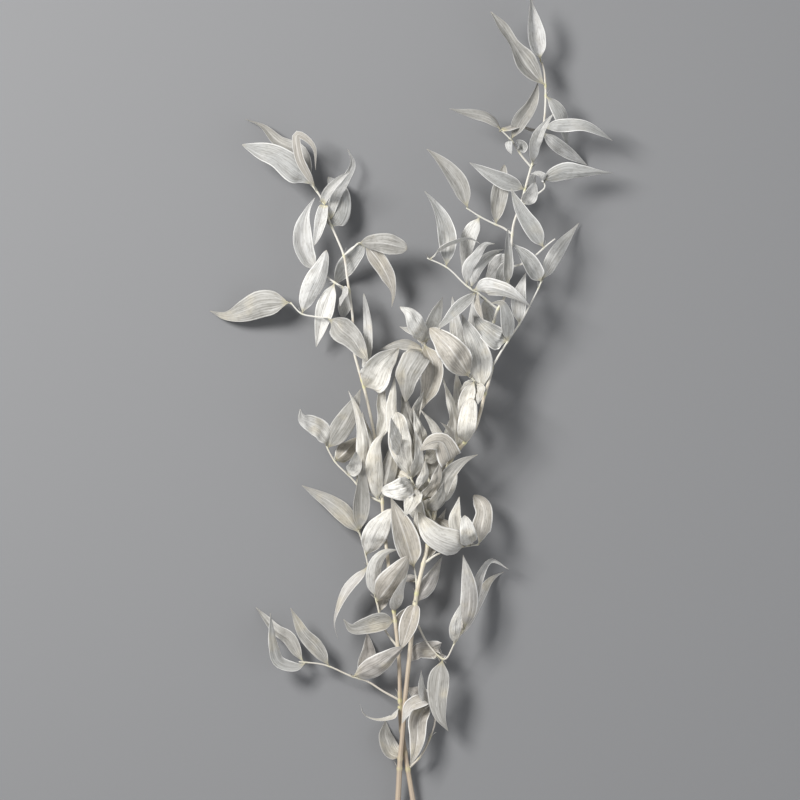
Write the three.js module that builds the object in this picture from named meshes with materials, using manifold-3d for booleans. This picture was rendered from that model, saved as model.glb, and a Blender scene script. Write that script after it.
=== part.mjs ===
// Dried ruscus: two cut stems that cross low down, with side twigs and pointed
// flat leaves, lying on a surface. Millimetres, +Z up, +Y towards the leafy top.
//
// The plan of the spray is laid out in squares of a drawing, x to the right and
// y down from the topmost leaf tip. Heights above the surface are millimetres.

import * as THREE from 'three';
import Module from 'manifold-3d';

const wasm = await Module();
wasm.setup();

// ---------------------------------------------------------------- dimensions

const SQUARE = 0.75; // side of one drawing square
const PLAN_CENTRE = [410, 445]; // square that the plan is centred on

const LEAF_THICKNESS = 0.5; // at the midrib; the blade thins to a sharp edge
const PETIOLE_WIDTH = 1.3;
const TWIG_ROOT_RADIUS = 0.95;
const TWIG_TIP_RADIUS = 0.6;
const TOUCH_GAP = 0.3; // between a twig or leaf and the stem that carries it
const LEAF_CLEARANCE = 0.45; // least distance between two leaves of different twigs
const FREE_FROM = 0.1; // share of its length from which a leaf clears other twigs
const SIBLING_FREE_FROM = 0.3; // and from which it clears the leaves of its own twig
const WELD = 0.02; // corners nearer than this are joined

const STEM_SIDES = 8;
const STEM_RINGS = 2; // for each point of its route
const STEM_TAPER = 0.5; // below 1, a stem thins faster near its cut end
const TWIG_SIDES = 6;
const TWIG_RINGS = 3;
const ROUTE_SAMPLES = 200; // places tried along a curve for the foot of a leaf

// How far a leaf may be moved from its stated posture to find a free place.
const LIFT_LIMIT = 27; // millimetres at its tip
const LIFT_STEP = 3;
const TURN_LIMIT = 40; // degrees about its length
const TURN_STEP = 10;

// Width of a blade at these shares of its length, as a share of the widest place.
const BLADE_STATIONS = [0, 0.06, 0.15, 0.32, 0.56, 0.8];
const OUTLINES = {
  pointed: [0, 0, 0.7, 1, 0.86, 0.46],
  oval: [0, 0, 0.62, 0.95, 1, 0.66],
  blunt: [0, 0, 0.5, 0.82, 1, 0.88],
  tailed: [0, 0, 0.72, 1, 0.84, 0.3],
  waisted: [0, 0, 0.85, 1, 0.46, 0.5],
  ribbon: [0, 0, 0.9, 1, 0.9, 0.6],
};

// -------------------------------------------------------------------- stems
// Each point is [x, y, height]; radii run from the cut end to the leafy top.

const STEMS = {
  left_stem: {
    cutRadius: 2.3,
    topRadius: 0.7,
    route: [
      [427, 890, 2], [413, 800, 7.6], [405, 752, 11], [401, 725, 12.8],
      [400, 700, 14.5], [399, 660, 18], [395, 620, 21], [388, 560, 25.5],
      [383, 514, 28], [381, 478, 29.5], [374, 432, 31], [364, 387, 31.5],
      [354, 350, 31], [353, 320, 30], [347, 275, 28], [344, 256, 27],
      [331, 225, 25], [321, 198, 23], [311, 184, 22],
    ],
  },
  right_stem: {
    cutRadius: 2.4,
    topRadius: 0.7,
    route: [
      [393, 890, 2], [398, 800, 10], [400, 760, 13.8], [402, 740, 15.9],
      [405, 700, 19.5], [409, 660, 22.5], [412, 630, 25], [417, 590, 28.5],
      [424, 560, 31], [433, 519, 34], [440, 490, 36], [452, 457, 38],
      [463, 444, 38.5], [475, 427, 39], [484, 395, 40], [491, 366, 40],
      [487, 354, 40], [490, 335, 39.5], [497, 310, 38.5], [503, 300, 38],
      [507, 285, 37.2], [510, 256, 35.5], [513, 225, 33.5], [520, 205, 32],
      [530, 170, 29.5], [537, 148, 28], [543, 125, 26.2], [545, 95, 24],
      [543, 70, 22], [540, 61, 21.2],
    ],
  },
};

// -------------------------------------------------------------------- twigs
// route: squares from the stem outwards; climb: height gained along the twig.
// A leaf's line runs from its foot to its tip in squares, wide is its widest
// place in squares, rise the height that its tip gains over its foot, arch the
// extra height of its middle, roll the turn of the blade about its length at
// the foot and twist the further turn up to the tip, in degrees. outline names
// the blade's shape, which is pointed where nothing is said.

const TWIGS = {
  top_twig: {
    stem: 'right_stem',
    climb: 4,
    route: [[531, 168], [521, 157], [511, 142], [500, 131]],
    leaves: [
      { line: [[511, 142], [519, 124], [532, 104], [538, 82]], wide: 15, rise: -14, roll: -10 },
      { line: [[501, 131], [512, 127], [525, 128], [536, 131]], wide: 12, rise: -22, arch: 8, roll: 65 },
      {
        line: [[500, 132], [494, 124], [484, 118], [468, 115], [449, 111]],
        wide: 11, rise: 6, roll: 50, twist: -60,
      },
      { line: [[518, 153], [521, 147], [515, 142]], wide: 9, rise: 8, roll: 20, outline: 'oval' },
      { line: [[510, 141], [508, 147], [511, 156]], wide: 8, rise: 6, roll: 25 },
    ],
  },
  short_upper_twig: {
    stem: 'right_stem',
    climb: 3,
    route: [[520, 208], [530, 201], [537, 195], [544, 188], [543, 182]],
    leaves: [
      {
        line: [[543, 184], [558, 174], [582, 173], [612, 174]],
        wide: 17, rise: -6, roll: 10, outline: 'tailed',
      },
      { line: [[543, 183], [539, 176], [530, 175]], wide: 8, rise: 8, roll: 20 },
      { line: [[523, 207], [529, 198], [534, 184]], wide: 14, rise: 22, roll: 10, outline: 'oval' },
      { line: [[531, 200], [531, 186], [535, 172]], wide: 13, rise: -26, roll: 30 },
    ],
  },
  right_stub_twig: {
    stem: 'right_stem',
    climb: 8,
    route: [[511, 270], [523, 264], [535, 256], [545, 247], [554, 240]],
    leaves: [
      { line: [[542, 249], [533, 232], [520, 212], [510, 190]], wide: 17, rise: 9, arch: 2, roll: 5 },
    ],
  },
  upper_left_twig: {
    stem: 'right_stem',
    climb: 2,
    route: [[512, 235], [503, 229], [494, 225], [480, 218], [466, 209]],
    leaves: [
      { line: [[466, 209], [461, 190], [447, 170], [427, 150]], wide: 17, rise: 6, roll: 5 },
      { line: [[495, 225], [497, 205], [504, 166]], wide: 16, rise: -12, roll: 15, outline: 'oval' },
      { line: [[480, 218], [470, 235], [462, 273]], wide: 16, rise: -20, arch: 3, roll: 20 },
    ],
  },
  middle_left_twig: {
    stem: 'right_stem',
    climb: 3,
    route: [[498, 309], [490, 304], [479, 295], [467, 287], [446, 268], [427, 259]],
    leaves: [
      { line: [[446, 268], [447, 240], [440, 215], [425, 192]], wide: 18, rise: 4, arch: 2 },
      {
        line: [[435, 263], [437, 252], [455, 242], [470, 240], [480, 247]],
        wide: 12, rise: 12, arch: 8, roll: 72,
      },
      {
        line: [[467, 287], [468, 268], [482, 250], [488, 242], [494, 245]],
        wide: 12, rise: 8, arch: 2, roll: 15,
      },
      { line: [[470, 289], [478, 268], [490, 256], [503, 250]], wide: 12, rise: -12, arch: 6, roll: 15 },
      { line: [[472, 290], [490, 288], [512, 295], [529, 310]], wide: 18, rise: 12, arch: 10, roll: 20 },
      {
        line: [[476, 293], [460, 307], [438, 330]],
        wide: 12, rise: 20, arch: 4, roll: 15, outline: 'oval',
      },
      { line: [[477, 294], [478, 308], [483, 322]], wide: 10, rise: 22, roll: 50 },
      { line: [[485, 300], [487, 312], [490, 327]], wide: 13, rise: -30, roll: 20 },
    ],
  },
  right_fork_twig: {
    stem: 'right_stem',
    climb: -5,
    route: [[491, 366], [501, 351], [508, 340], [519, 324], [530, 304], [538, 288], [541, 281]],
    leaves: [
      { line: [[540, 283], [528, 263], [512, 244]], wide: 17, rise: 8, roll: 10 },
      { line: [[541, 281], [553, 258], [577, 225]], wide: 16, rise: -35, roll: 10 },
      { line: [[518, 325], [518, 300], [525, 273]], wide: 15, rise: -8, roll: 10 },
      { line: [[507, 341], [506, 318], [499, 303], [490, 304]], wide: 14, rise: 18, arch: 4, roll: 10 },
      { line: [[506, 343], [488, 333], [473, 316]], wide: 23, rise: -8, arch: 6, roll: 10 },
    ],
  },
  inner_right_twig: {
    stem: 'right_stem',
    climb: 5,
    route: [[484, 393], [479, 387], [475, 382], [469, 377]],
    leaves: [
      {
        line: [[469, 377], [452, 352], [431, 329]],
        wide: 28, rise: 6, arch: 14, roll: 5, outline: 'oval',
      },
      { line: [[473, 380], [459, 345], [452, 297]], wide: 18, rise: -12, roll: 10 },
      { line: [[481, 389], [478, 355], [461, 315]], wide: 25, rise: 4, roll: 5 },
      { line: [[476, 384], [479, 391], [477, 404]], wide: 11, rise: 28, roll: 40 },
      { line: [[475, 383], [468, 389], [461, 400]], wide: 15, rise: -30, roll: 20 },
      { line: [[473, 382], [466, 402], [462, 430]], wide: 16, rise: -14, roll: 10 },
      { line: [[478, 386], [468, 362], [447, 343]], wide: 16, rise: -32, roll: 10 },
      { line: [[481, 389], [469, 397], [455, 404]], wide: 15, rise: -28, roll: 10 },
    ],
  },
  centre_twig: {
    stem: 'right_stem',
    climb: 5,
    route: [[438, 497], [428, 478], [420, 452], [417, 430], [422, 400], [422, 365], [425, 343]],
    leaves: [
      {
        line: [[425, 343], [416, 325], [409, 313], [400, 308]],
        wide: 19, rise: 16, arch: 8, roll: 5, outline: 'oval',
      },
      { line: [[424, 346], [413, 332], [400, 328]], wide: 11, rise: -18, roll: 68 },
      { line: [[424, 350], [400, 344], [381, 350]], wide: 13, rise: -26, roll: 40 },
      {
        line: [[424, 348], [409, 366], [404, 403]],
        wide: 25, rise: 2, arch: 14, roll: 5, outline: 'oval',
      },
      { line: [[424, 349], [433, 373], [421, 410]], wide: 22, rise: -8, arch: 6, roll: 10 },
      { line: [[425, 344], [434, 320], [443, 297]], wide: 16, rise: -20, roll: 20 },
      { line: [[420, 449], [410, 425], [402, 388]], wide: 15, rise: -14, roll: 15 },
      { line: [[417, 428], [415, 412], [424, 391]], wide: 10, rise: 24, roll: 45 },
      { line: [[421, 456], [420, 432], [413, 408]], wide: 15, rise: 12, roll: 20 },
      { line: [[429, 480], [428, 468], [424, 455]], wide: 12, rise: -30, roll: 10 },
      { line: [[434, 489], [433, 464], [429, 438]], wide: 15, rise: -30, roll: 10 },
      { line: [[422, 462], [434, 452], [441, 433]], wide: 15, rise: -20, roll: 10 },
    ],
  },
  inner_left_twig: {
    stem: 'right_stem',
    climb: 9,
    route: [[432, 521], [424, 503], [411, 478], [403, 452]],
    leaves: [
      {
        line: [[410, 476], [401, 448], [397, 412]],
        wide: 23, rise: 12, arch: 6, roll: 5, outline: 'blunt',
      },
      { line: [[406, 460], [414, 437], [413, 405]], wide: 14, rise: -4, roll: 15, outline: 'oval' },
      { line: [[411, 477], [415, 450], [409, 421]], wide: 17, rise: -12, roll: 10 },
      { line: [[404, 455], [396, 440], [391, 417]], wide: 16, rise: 26, roll: 30 },
      { line: [[411, 478], [395, 471], [379, 474]], wide: 21, rise: -34, arch: 2, roll: 5 },
      { line: [[413, 483], [398, 489], [381, 490]], wide: 22, rise: 12, arch: 14, outline: 'oval' },
      { line: [[403, 453], [392, 418], [395, 376]], wide: 14, rise: -6, roll: 10 },
      { line: [[416, 487], [411, 502], [404, 516]], wide: 19, rise: 24, arch: 6, roll: 15 },
      { line: [[412, 479], [418, 458], [416, 430]], wide: 13, rise: 20, roll: 40 },
      { line: [[428, 512], [417, 498], [405, 483]], wide: 18, rise: -34, roll: 10 },
      { line: [[430, 517], [416, 510], [402, 500]], wide: 17, rise: -30, roll: 10 },
      { line: [[422, 499], [434, 484], [440, 462]], wide: 13, rise: 14, roll: 30, outline: 'ribbon' },
      { line: [[427, 510], [437, 499], [444, 480]], wide: 13, rise: 16, roll: 25 },
      { line: [[417, 490], [424, 476], [425, 459]], wide: 11, rise: 18, roll: 35 },
    ],
  },
  lower_spur: {
    stem: 'right_stem',
    climb: 3,
    route: [[417, 592], [416, 578], [414, 567]],
    leaves: [
      { line: [[414, 567], [404, 532], [391, 497]], wide: 26, rise: 8, arch: 3, roll: 5 },
      { line: [[416, 582], [411, 578], [404, 574]], wide: 13, rise: -28, roll: 20 },
    ],
  },
  thin_left_twig: {
    stem: 'left_stem',
    climb: 5,
    route: [[396, 648], [385, 629], [376, 598], [370, 575], [366, 555], [359, 530]],
    leaves: [
      { line: [[359, 531], [362, 495], [362, 457]], wide: 17, rise: 17, roll: 5 },
      { line: [[360, 533], [340, 509], [302, 485]], wide: 18, rise: -6, roll: 5 },
      {
        line: [[366, 555], [376, 532], [391, 508]],
        wide: 24, rise: 18, arch: 4, roll: 5, outline: 'oval',
      },
      {
        line: [[370, 576], [356, 578], [346, 593], [336, 614], [334, 638]],
        wide: 15, rise: 6, roll: 10, twist: 65,
      },
      { line: [[376, 597], [374, 572], [381, 554], [399, 549]], wide: 16, rise: 12, arch: 4, roll: 10 },
      {
        line: [[377, 601], [392, 580], [409, 556]],
        wide: 27, rise: 20, arch: 8, roll: 5, outline: 'oval',
      },
      { line: [[380, 612], [385, 590], [388, 566]], wide: 13, rise: -20, roll: 10 },
    ],
  },
  lower_left_twig: {
    stem: 'left_stem',
    climb: 2,
    route: [[400, 700], [384, 691], [366, 680], [353, 676], [324, 664], [299, 661]],
    leaves: [
      { line: [[299, 661], [293, 643], [276, 630], [256, 607]], wide: 13, rise: -16, roll: 15 },
      { line: [[302, 661], [284, 665], [274, 646], [271, 612]], wide: 13, rise: 10, roll: 15 },
      { line: [[324, 664], [321, 652], [306, 636], [291, 607]], wide: 15, rise: 5, roll: 10 },
      { line: [[353, 676], [378, 664], [403, 645]], wide: 21, rise: 16, arch: 6, roll: 5, outline: 'oval' },
      { line: [[359, 678], [368, 656], [367, 632]], wide: 17, rise: -16, roll: 10 },
    ],
  },
  lower_right_twig: {
    stem: 'left_stem',
    climb: 5,
    route: [[409, 768], [421, 755], [430, 737], [435, 718], [430, 703]],
    leaves: [
      { line: [[430, 703], [418, 720], [417, 742], [410, 765]], wide: 19, rise: 8, roll: 5 },
      { line: [[431, 705], [412, 703], [402, 722]], wide: 15, rise: 18, arch: 3, roll: 20 },
      { line: [[430, 703], [418, 692], [406, 687]], wide: 18, rise: -16, roll: 10 },
      { line: [[431, 706], [422, 690], [421, 669]], wide: 12, rise: 20, roll: 45 },
    ],
  },
  right_low_twig: {
    stem: 'right_stem',
    climb: 3,
    route: [[413, 617], [432, 648], [444, 658], [455, 641], [464, 628]],
    leaves: [
      { line: [[442, 658], [438, 685], [439, 712], [448, 730]], wide: 22, rise: -4, roll: 5 },
      { line: [[441, 657], [424, 648], [410, 661]], wide: 19, rise: -14, arch: 4, roll: 10 },
      { line: [[442, 656], [436, 648], [429, 641]], wide: 9, rise: -18, roll: 45 },
      { line: [[454, 643], [455, 622], [461, 601]], wide: 11, rise: 18, roll: 20 },
      { line: [[464, 628], [469, 600], [467, 575], [462, 554]], wide: 18, rise: 6 },
      {
        line: [[461, 632], [471, 600], [478, 575], [490, 559], [509, 566]],
        wide: 13, rise: -10, roll: 35, twist: 30,
      },
      { line: [[457, 638], [477, 601], [489, 581], [504, 570]], wide: 13, rise: -30, roll: 10 },
    ],
  },
  right_mid_twig: {
    stem: 'right_stem',
    climb: 3,
    route: [[424, 562], [436, 554], [450, 549], [468, 545], [478, 544]],
    leaves: [
      {
        line: [[467, 545], [446, 542], [430, 530], [418, 511]],
        wide: 24, rise: 14, arch: 8, roll: 5, outline: 'oval',
      },
      { line: [[460, 547], [448, 527], [434, 517]], wide: 17, rise: -10, roll: 10 },
      { line: [[467, 545], [455, 523], [459, 496]], wide: 15, rise: 6, roll: 20 },
      { line: [[469, 545], [467, 530], [464, 514]], wide: 17, rise: 14, arch: 12, outline: 'oval' },
      {
        line: [[477, 544], [484, 524], [481, 503], [474, 495]],
        wide: 17, rise: -16, arch: 4, roll: 5, outline: 'blunt',
      },
      { line: [[428, 559], [434, 534], [446, 508]], wide: 14, rise: -24, roll: 10 },
    ],
  },
  left_short_twig: {
    stem: 'left_stem',
    climb: 3,
    route: [[344, 256], [352, 250], [359, 244], [366, 243]],
    leaves: [
      { line: [[366, 243], [352, 260], [335, 283]], wide: 18, rise: -26, roll: 10, outline: 'oval' },
      {
        line: [[359, 244], [383, 244], [407, 250]],
        wide: 20, rise: 10, arch: 6, roll: 5, outline: 'blunt',
      },
      {
        line: [[365, 243], [382, 266], [393, 290], [391, 308]],
        wide: 19, rise: -14, roll: 10, outline: 'tailed',
      },
    ],
  },
  left_branch_twig: {
    stem: 'left_stem',
    climb: -7,
    route: [[354, 348], [343, 332], [328, 319], [315, 317], [302, 314], [291, 303]],
    leaves: [
      {
        line: [[291, 303], [262, 304], [230, 316], [210, 311]],
        wide: 27, rise: -24, arch: 4, roll: 5, outline: 'tailed',
      },
      {
        line: [[302, 314], [311, 290], [321, 270], [327, 251]],
        wide: 20, rise: 8, roll: 5, outline: 'oval',
      },
      { line: [[328, 319], [345, 330], [368, 362]], wide: 21, rise: 14, roll: 10, outline: 'oval' },
    ],
  },
  left_inner_twig: {
    stem: 'left_stem',
    climb: -6,
    route: [[350, 293], [343, 288], [335, 283], [328, 278], [317, 268]],
    leaves: [
      {
        line: [[317, 268], [307, 254], [303, 238], [305, 218], [315, 198]],
        wide: 20, rise: 4, roll: 5, twist: 20, outline: 'tailed',
      },
      { line: [[335, 283], [325, 310], [316, 347]], wide: 18, rise: -12, roll: 5 },
      { line: [[343, 288], [345, 294], [340, 306]], wide: 11, rise: 24, roll: 30 },
      { line: [[345, 289], [346, 303], [342, 320]], wide: 13, rise: -26, roll: 10 },
    ],
  },
  left_low_twig: {
    stem: 'left_stem',
    climb: 4,
    route: [[382, 503], [370, 496], [350, 476], [335, 461], [327, 446], [325, 441]],
    leaves: [
      { line: [[325, 441], [321, 430], [309, 422], [302, 417], [301, 409]], wide: 20, rise: 16, roll: 10 },
      { line: [[328, 448], [340, 430], [352, 410], [361, 389]], wide: 22, rise: 8, roll: 5 },
      { line: [[335, 461], [349, 448], [362, 435]], wide: 19, rise: -28, roll: 10 },
      { line: [[348, 474], [355, 466], [356, 449]], wide: 15, rise: 26, roll: 20 },
      { line: [[357, 483], [363, 450], [360, 418], [349, 391]], wide: 13, rise: 16, arch: 4, roll: 15 },
      { line: [[378, 501], [374, 470], [377, 443], [386, 430]], wide: 19, rise: 14, arch: 6, roll: 5 },
      { line: [[369, 495], [372, 455], [362, 412]], wide: 16, rise: -16, roll: 10 },
      { line: [[380, 502], [389, 470], [400, 424]], wide: 16, rise: -24, roll: 10 },
    ],
  },
};

// ------------------------------------------------- leaves borne on the stems

const STEM_LEAVES = {
  leaf_crown_right: {
    stem: 'right_stem', line: [[540, 61], [534, 32], [529, -1]], wide: 19, rise: 6, roll: 8,
  },
  leaf_crown_left: {
    stem: 'right_stem',
    line: [[543, 80], [529, 69], [516, 50], [505, 33], [490, 14]],
    wide: 22, rise: 10, arch: 3, roll: 5, twist: 30, outline: 'waisted',
  },
  leaf_top_arch: {
    stem: 'right_stem',
    line: [[544, 101], [553, 105], [561, 118], [567, 146]],
    wide: 14, rise: -16, arch: 6, roll: -20,
  },
  leaf_top_right: {
    stem: 'right_stem',
    line: [[543, 129], [560, 127], [586, 128], [611, 142]],
    wide: 13, rise: 4, arch: 9, roll: 10,
  },
  leaf_right_drop: {
    stem: 'right_stem', line: [[542, 131], [560, 148], [587, 165]], wide: 14, rise: -26.4, roll: 15,
  },
  leaf_over_top: {
    stem: 'right_stem', line: [[532, 165], [536, 138], [552, 116]], wide: 14, rise: 24, roll: 40,
  },
  leaf_upper_left: {
    stem: 'right_stem', line: [[525, 191], [500, 181], [469, 164]], wide: 16, rise: 8, arch: 4,
  },
  leaf_inner_upper: {
    stem: 'right_stem', line: [[510, 256], [498, 265], [485, 284]], wide: 18, rise: -38, roll: 20,
  },
  leaf_inner_lower: {
    stem: 'right_stem', line: [[510, 262], [503, 274], [498, 292]], wide: 15, rise: -26, roll: 10,
  },
  leaf_inner_strip: {
    stem: 'right_stem', line: [[507, 286], [507, 258], [506, 229]], wide: 11, rise: 16, roll: 20,
  },
  leaf_fork: {
    stem: 'right_stem',
    line: [[487, 356], [478, 335], [474, 316], [473, 297]],
    wide: 19, rise: 6, roll: 5,
  },
  leaf_middle_tall: {
    stem: 'right_stem', line: [[455, 454], [453, 415], [440, 371]], wide: 16, rise: 2, roll: 25,
  },
  leaf_middle_back: {
    stem: 'right_stem', line: [[458, 449], [461, 410], [455, 369]], wide: 18, rise: -20, roll: 10,
  },
  leaf_middle_bright: {
    stem: 'right_stem',
    line: [[464, 443], [466, 425], [470, 398]],
    wide: 19, rise: 10, arch: 16, roll: 5, outline: 'blunt',
  },
  leaf_middle_small: {
    stem: 'right_stem', line: [[453, 456], [450, 432], [440, 422]], wide: 10, rise: 24, roll: 50,
  },
  leaf_middle_left: {
    stem: 'right_stem',
    line: [[448, 465], [446, 446], [436, 440], [420, 450]],
    wide: 20, rise: 10, arch: 4, roll: 5, outline: 'oval',
  },
  leaf_middle_curve: {
    stem: 'right_stem',
    line: [[451, 459], [441, 440], [431, 422], [419, 409]],
    wide: 11, rise: -6, roll: 20,
  },
  leaf_middle_narrow: {
    stem: 'right_stem', line: [[447, 468], [447, 440], [449, 420]], wide: 12, rise: -26, roll: 20,
  },
  leaf_waist_right: {
    stem: 'right_stem',
    line: [[434, 513], [443, 486], [455, 466], [477, 454]],
    wide: 16, rise: 10, roll: 10,
  },
  leaf_waist_back: {
    stem: 'right_stem',
    line: [[436, 505], [445, 484], [448, 458]],
    wide: 22, rise: -30, roll: 10, outline: 'oval',
  },
  leaf_waist_left: {
    stem: 'right_stem', line: [[431, 527], [422, 482], [410, 437]], wide: 16, rise: -10, roll: 15,
  },
  leaf_waist_small: {
    stem: 'right_stem', line: [[427, 543], [420, 520], [420, 494]], wide: 16, rise: 22, roll: 15,
  },
  leaf_low_mauve: {
    stem: 'right_stem', line: [[416, 602], [432, 578], [442, 556]], wide: 16, rise: -10, roll: 15,
  },
  leaf_low_front: {
    stem: 'right_stem',
    line: [[415, 602], [410, 620], [402, 646]],
    wide: 19, rise: 14, roll: 10, outline: 'oval',
  },
  leaf_low_back: {
    stem: 'right_stem', line: [[415, 604], [402, 622], [397, 642]], wide: 15, rise: -20, roll: 10,
  },
  leaf_low_left: {
    stem: 'left_stem',
    line: [[395, 619], [375, 622], [352, 627], [344, 618]],
    wide: 19, rise: 10, arch: 3, roll: 5,
  },
  leaf_low_strip: {
    stem: 'left_stem', line: [[394, 612], [398, 592], [407, 573]], wide: 13, rise: 20, roll: 40,
  },
  leaf_low_arc: {
    stem: 'left_stem',
    line: [[400, 706], [391, 717], [378, 719], [365, 714], [359, 703]],
    wide: 9, rise: 12, arch: 5, roll: 50,
  },
  leaf_lowest: {
    stem: 'right_stem', line: [[401, 752], [388, 743], [385, 720]], wide: 19, rise: -14, roll: 10,
  },
  leaf_left_crown_far: {
    stem: 'left_stem',
    line: [[311, 184], [299, 152], [270, 138], [258, 122], [245, 120]],
    wide: 16, rise: -22, roll: 10, twist: 30,
  },
  leaf_left_crown_wide: {
    stem: 'left_stem',
    line: [[312, 187], [288, 163], [243, 146]],
    wide: 23, rise: 8, arch: 4, roll: 5, outline: 'oval',
  },
  leaf_left_crown_hook: {
    stem: 'left_stem',
    line: [[317, 192], [303, 166], [294, 147], [300, 134], [311, 137], [315, 153], [316, 171]],
    wide: 9, rise: 4, arch: 8, roll: 0,
  },
  leaf_left_top_small: {
    stem: 'left_stem',
    line: [[329, 218], [339, 190], [353, 167], [348, 149]],
    wide: 11, rise: -14, roll: 20, outline: 'ribbon',
  },
  leaf_left_round: {
    stem: 'left_stem',
    line: [[331, 225], [339, 212], [340, 196], [328, 177]],
    wide: 21, rise: -20, roll: 5, outline: 'oval',
  },
  leaf_left_ribbon: {
    stem: 'left_stem',
    line: [[325, 206], [321, 222], [315, 246]],
    wide: 12, rise: 12, roll: 5, outline: 'ribbon',
  },
  leaf_left_curl: {
    stem: 'left_stem',
    line: [[323, 202], [330, 190], [340, 180], [350, 173]],
    wide: 9, rise: 20, arch: 4, roll: 5, outline: 'ribbon',
  },
  leaf_left_edge: {
    stem: 'left_stem',
    line: [[362, 379], [368, 352], [368, 325], [364, 294]],
    wide: 9, rise: -10, roll: -25, outline: 'oval',
  },
  leaf_left_broad: {
    stem: 'left_stem',
    line: [[364, 391], [376, 371], [399, 348]],
    wide: 27, rise: 14, arch: 6, outline: 'oval',
  },
  leaf_left_hidden: {
    stem: 'left_stem',
    line: [[375, 438], [384, 425], [381, 400], [384, 377]],
    wide: 14, rise: -12, roll: 10,
  },
};

// ----------------------------------------------------------------- materials

function dryLeaf() {
  return new THREE.MeshStandardMaterial({ color: 0xd6d2c6, roughness: 0.75, metalness: 0 });
}

function dryStem() {
  return new THREE.MeshStandardMaterial({ color: 0xcbbf9c, roughness: 0.65, metalness: 0 });
}

// ------------------------------------------------------------------- helpers

function place(x, y, z) {
  return new THREE.Vector3((x - PLAN_CENTRE[0]) * SQUARE, (PLAN_CENTRE[1] - y) * SQUARE, z);
}

// Lifts a ring that would dip below the surface until its lowest point is on it.
function onSurface(ring) {
  const lowest = Math.min(...ring.map((point) => point.z));
  const lift = Math.max(0, -lowest);
  return ring.map((point) => point.clone().setZ(point.z + lift));
}

// Closed solid over a row of rings, with a flat end at the first ring and
// either a flat end or a point at the last. The diagonals of neighbouring sides
// mirror each other, so a twisted blade has the same facets above and below.
function skin(rings, point) {
  const sides = rings[0].length;
  const corners = rings.flat();
  const faces = [];
  for (let ring = 0; ring + 1 < rings.length; ring += 1) {
    for (let side = 0; side < sides; side += 1) {
      const a = ring * sides + side;
      const b = ring * sides + (side + 1) % sides;
      if (side % 2) {
        faces.push([a, b, a + sides], [b, b + sides, a + sides]);
      } else {
        faces.push([a, b, b + sides], [a, b + sides, a + sides]);
      }
    }
  }
  const last = (rings.length - 1) * sides;
  for (let side = 1; side + 1 < sides; side += 1) {
    faces.push([0, side + 1, side]);
    if (!point) faces.push([last, last + side, last + side + 1]);
  }
  if (point) {
    corners.push(point);
    for (let side = 0; side < sides; side += 1) {
      faces.push([last + side, last + (side + 1) % sides, corners.length - 1]);
    }
  }
  return solidOf(corners, faces);
}

function solidOf(corners, faces) {
  const vertProperties = new Float32Array(corners.flatMap((corner) => corner.toArray()));
  const triVerts = new Uint32Array(faces.flat());
  return new wasm.Manifold(new wasm.Mesh({ numProp: 3, vertProperties, triVerts }));
}

function geometryOf(solid) {
  const mesh = solid.getMesh();
  const geometry = new THREE.BufferGeometry();
  geometry.setAttribute('position', new THREE.BufferAttribute(mesh.vertProperties, 3));
  geometry.setIndex(new THREE.BufferAttribute(mesh.triVerts, 1));
  return geometry;
}

// The two directions square to a curve: level across it and up, turned by roll.
function squareTo(along, roll) {
  const across = new THREE.Vector3(-along.y, along.x, 0).normalize();
  const turn = THREE.MathUtils.degToRad(roll);
  across.applyAxisAngle(along, turn);
  const up = new THREE.Vector3().crossVectors(along, across);
  return { across, up };
}

// Round tapering rod along a curve, with a few rings for each point of its
// route and one on each point; margin makes it fatter all round.
function rod(curve, ringsPerPoint, sides, startRadius, endRadius, taper, margin = 0) {
  const rings = [];
  const steps = ringsPerPoint * (curve.points.length - 1);
  for (let step = 0; step <= steps; step += 1) {
    const share = step / steps;
    const centre = curve.getPoint(share);
    const { across, up } = squareTo(curve.getTangent(share), 0);
    const radius = THREE.MathUtils.lerp(startRadius, endRadius, share ** taper) + margin;
    const ring = [];
    for (let side = 0; side < sides; side += 1) {
      const angle = (side / sides) * Math.PI * 2;
      ring.push(centre.clone()
        .addScaledVector(across, Math.cos(angle) * radius)
        .addScaledVector(up, Math.sin(angle) * radius));
    }
    rings.push(onSurface(ring));
  }
  return skin(rings);
}

// Curve over the line of a leaf or twig, starting at a given point in space.
function curveFrom(start, line, rise, arch) {
  const plan = line.slice(1).map(([x, y]) => place(x, y, 0));
  const flat = [start.clone().setZ(0), ...plan];
  let run = 0;
  const runs = flat.map((point, index) => {
    run += index ? point.distanceTo(flat[index - 1]) : 0;
    return run;
  });
  const points = flat.map((point, index) => {
    const share = runs[index] / run;
    return point.setZ(start.z + rise * share + arch * 4 * share * (1 - share));
  });
  return new THREE.CatmullRomCurve3(points, false, 'centripetal');
}

// The point of a curve that lies nearest to a square of the plan.
function nearestOn(curve, [x, y]) {
  const wanted = place(x, y, 0);
  const samples = curve.getSpacedPoints(ROUTE_SAMPLES);
  const reach = (point) => Math.hypot(point.x - wanted.x, point.y - wanted.y);
  return samples.reduce((best, point) => (reach(point) < reach(best) ? point : best));
}

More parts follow.
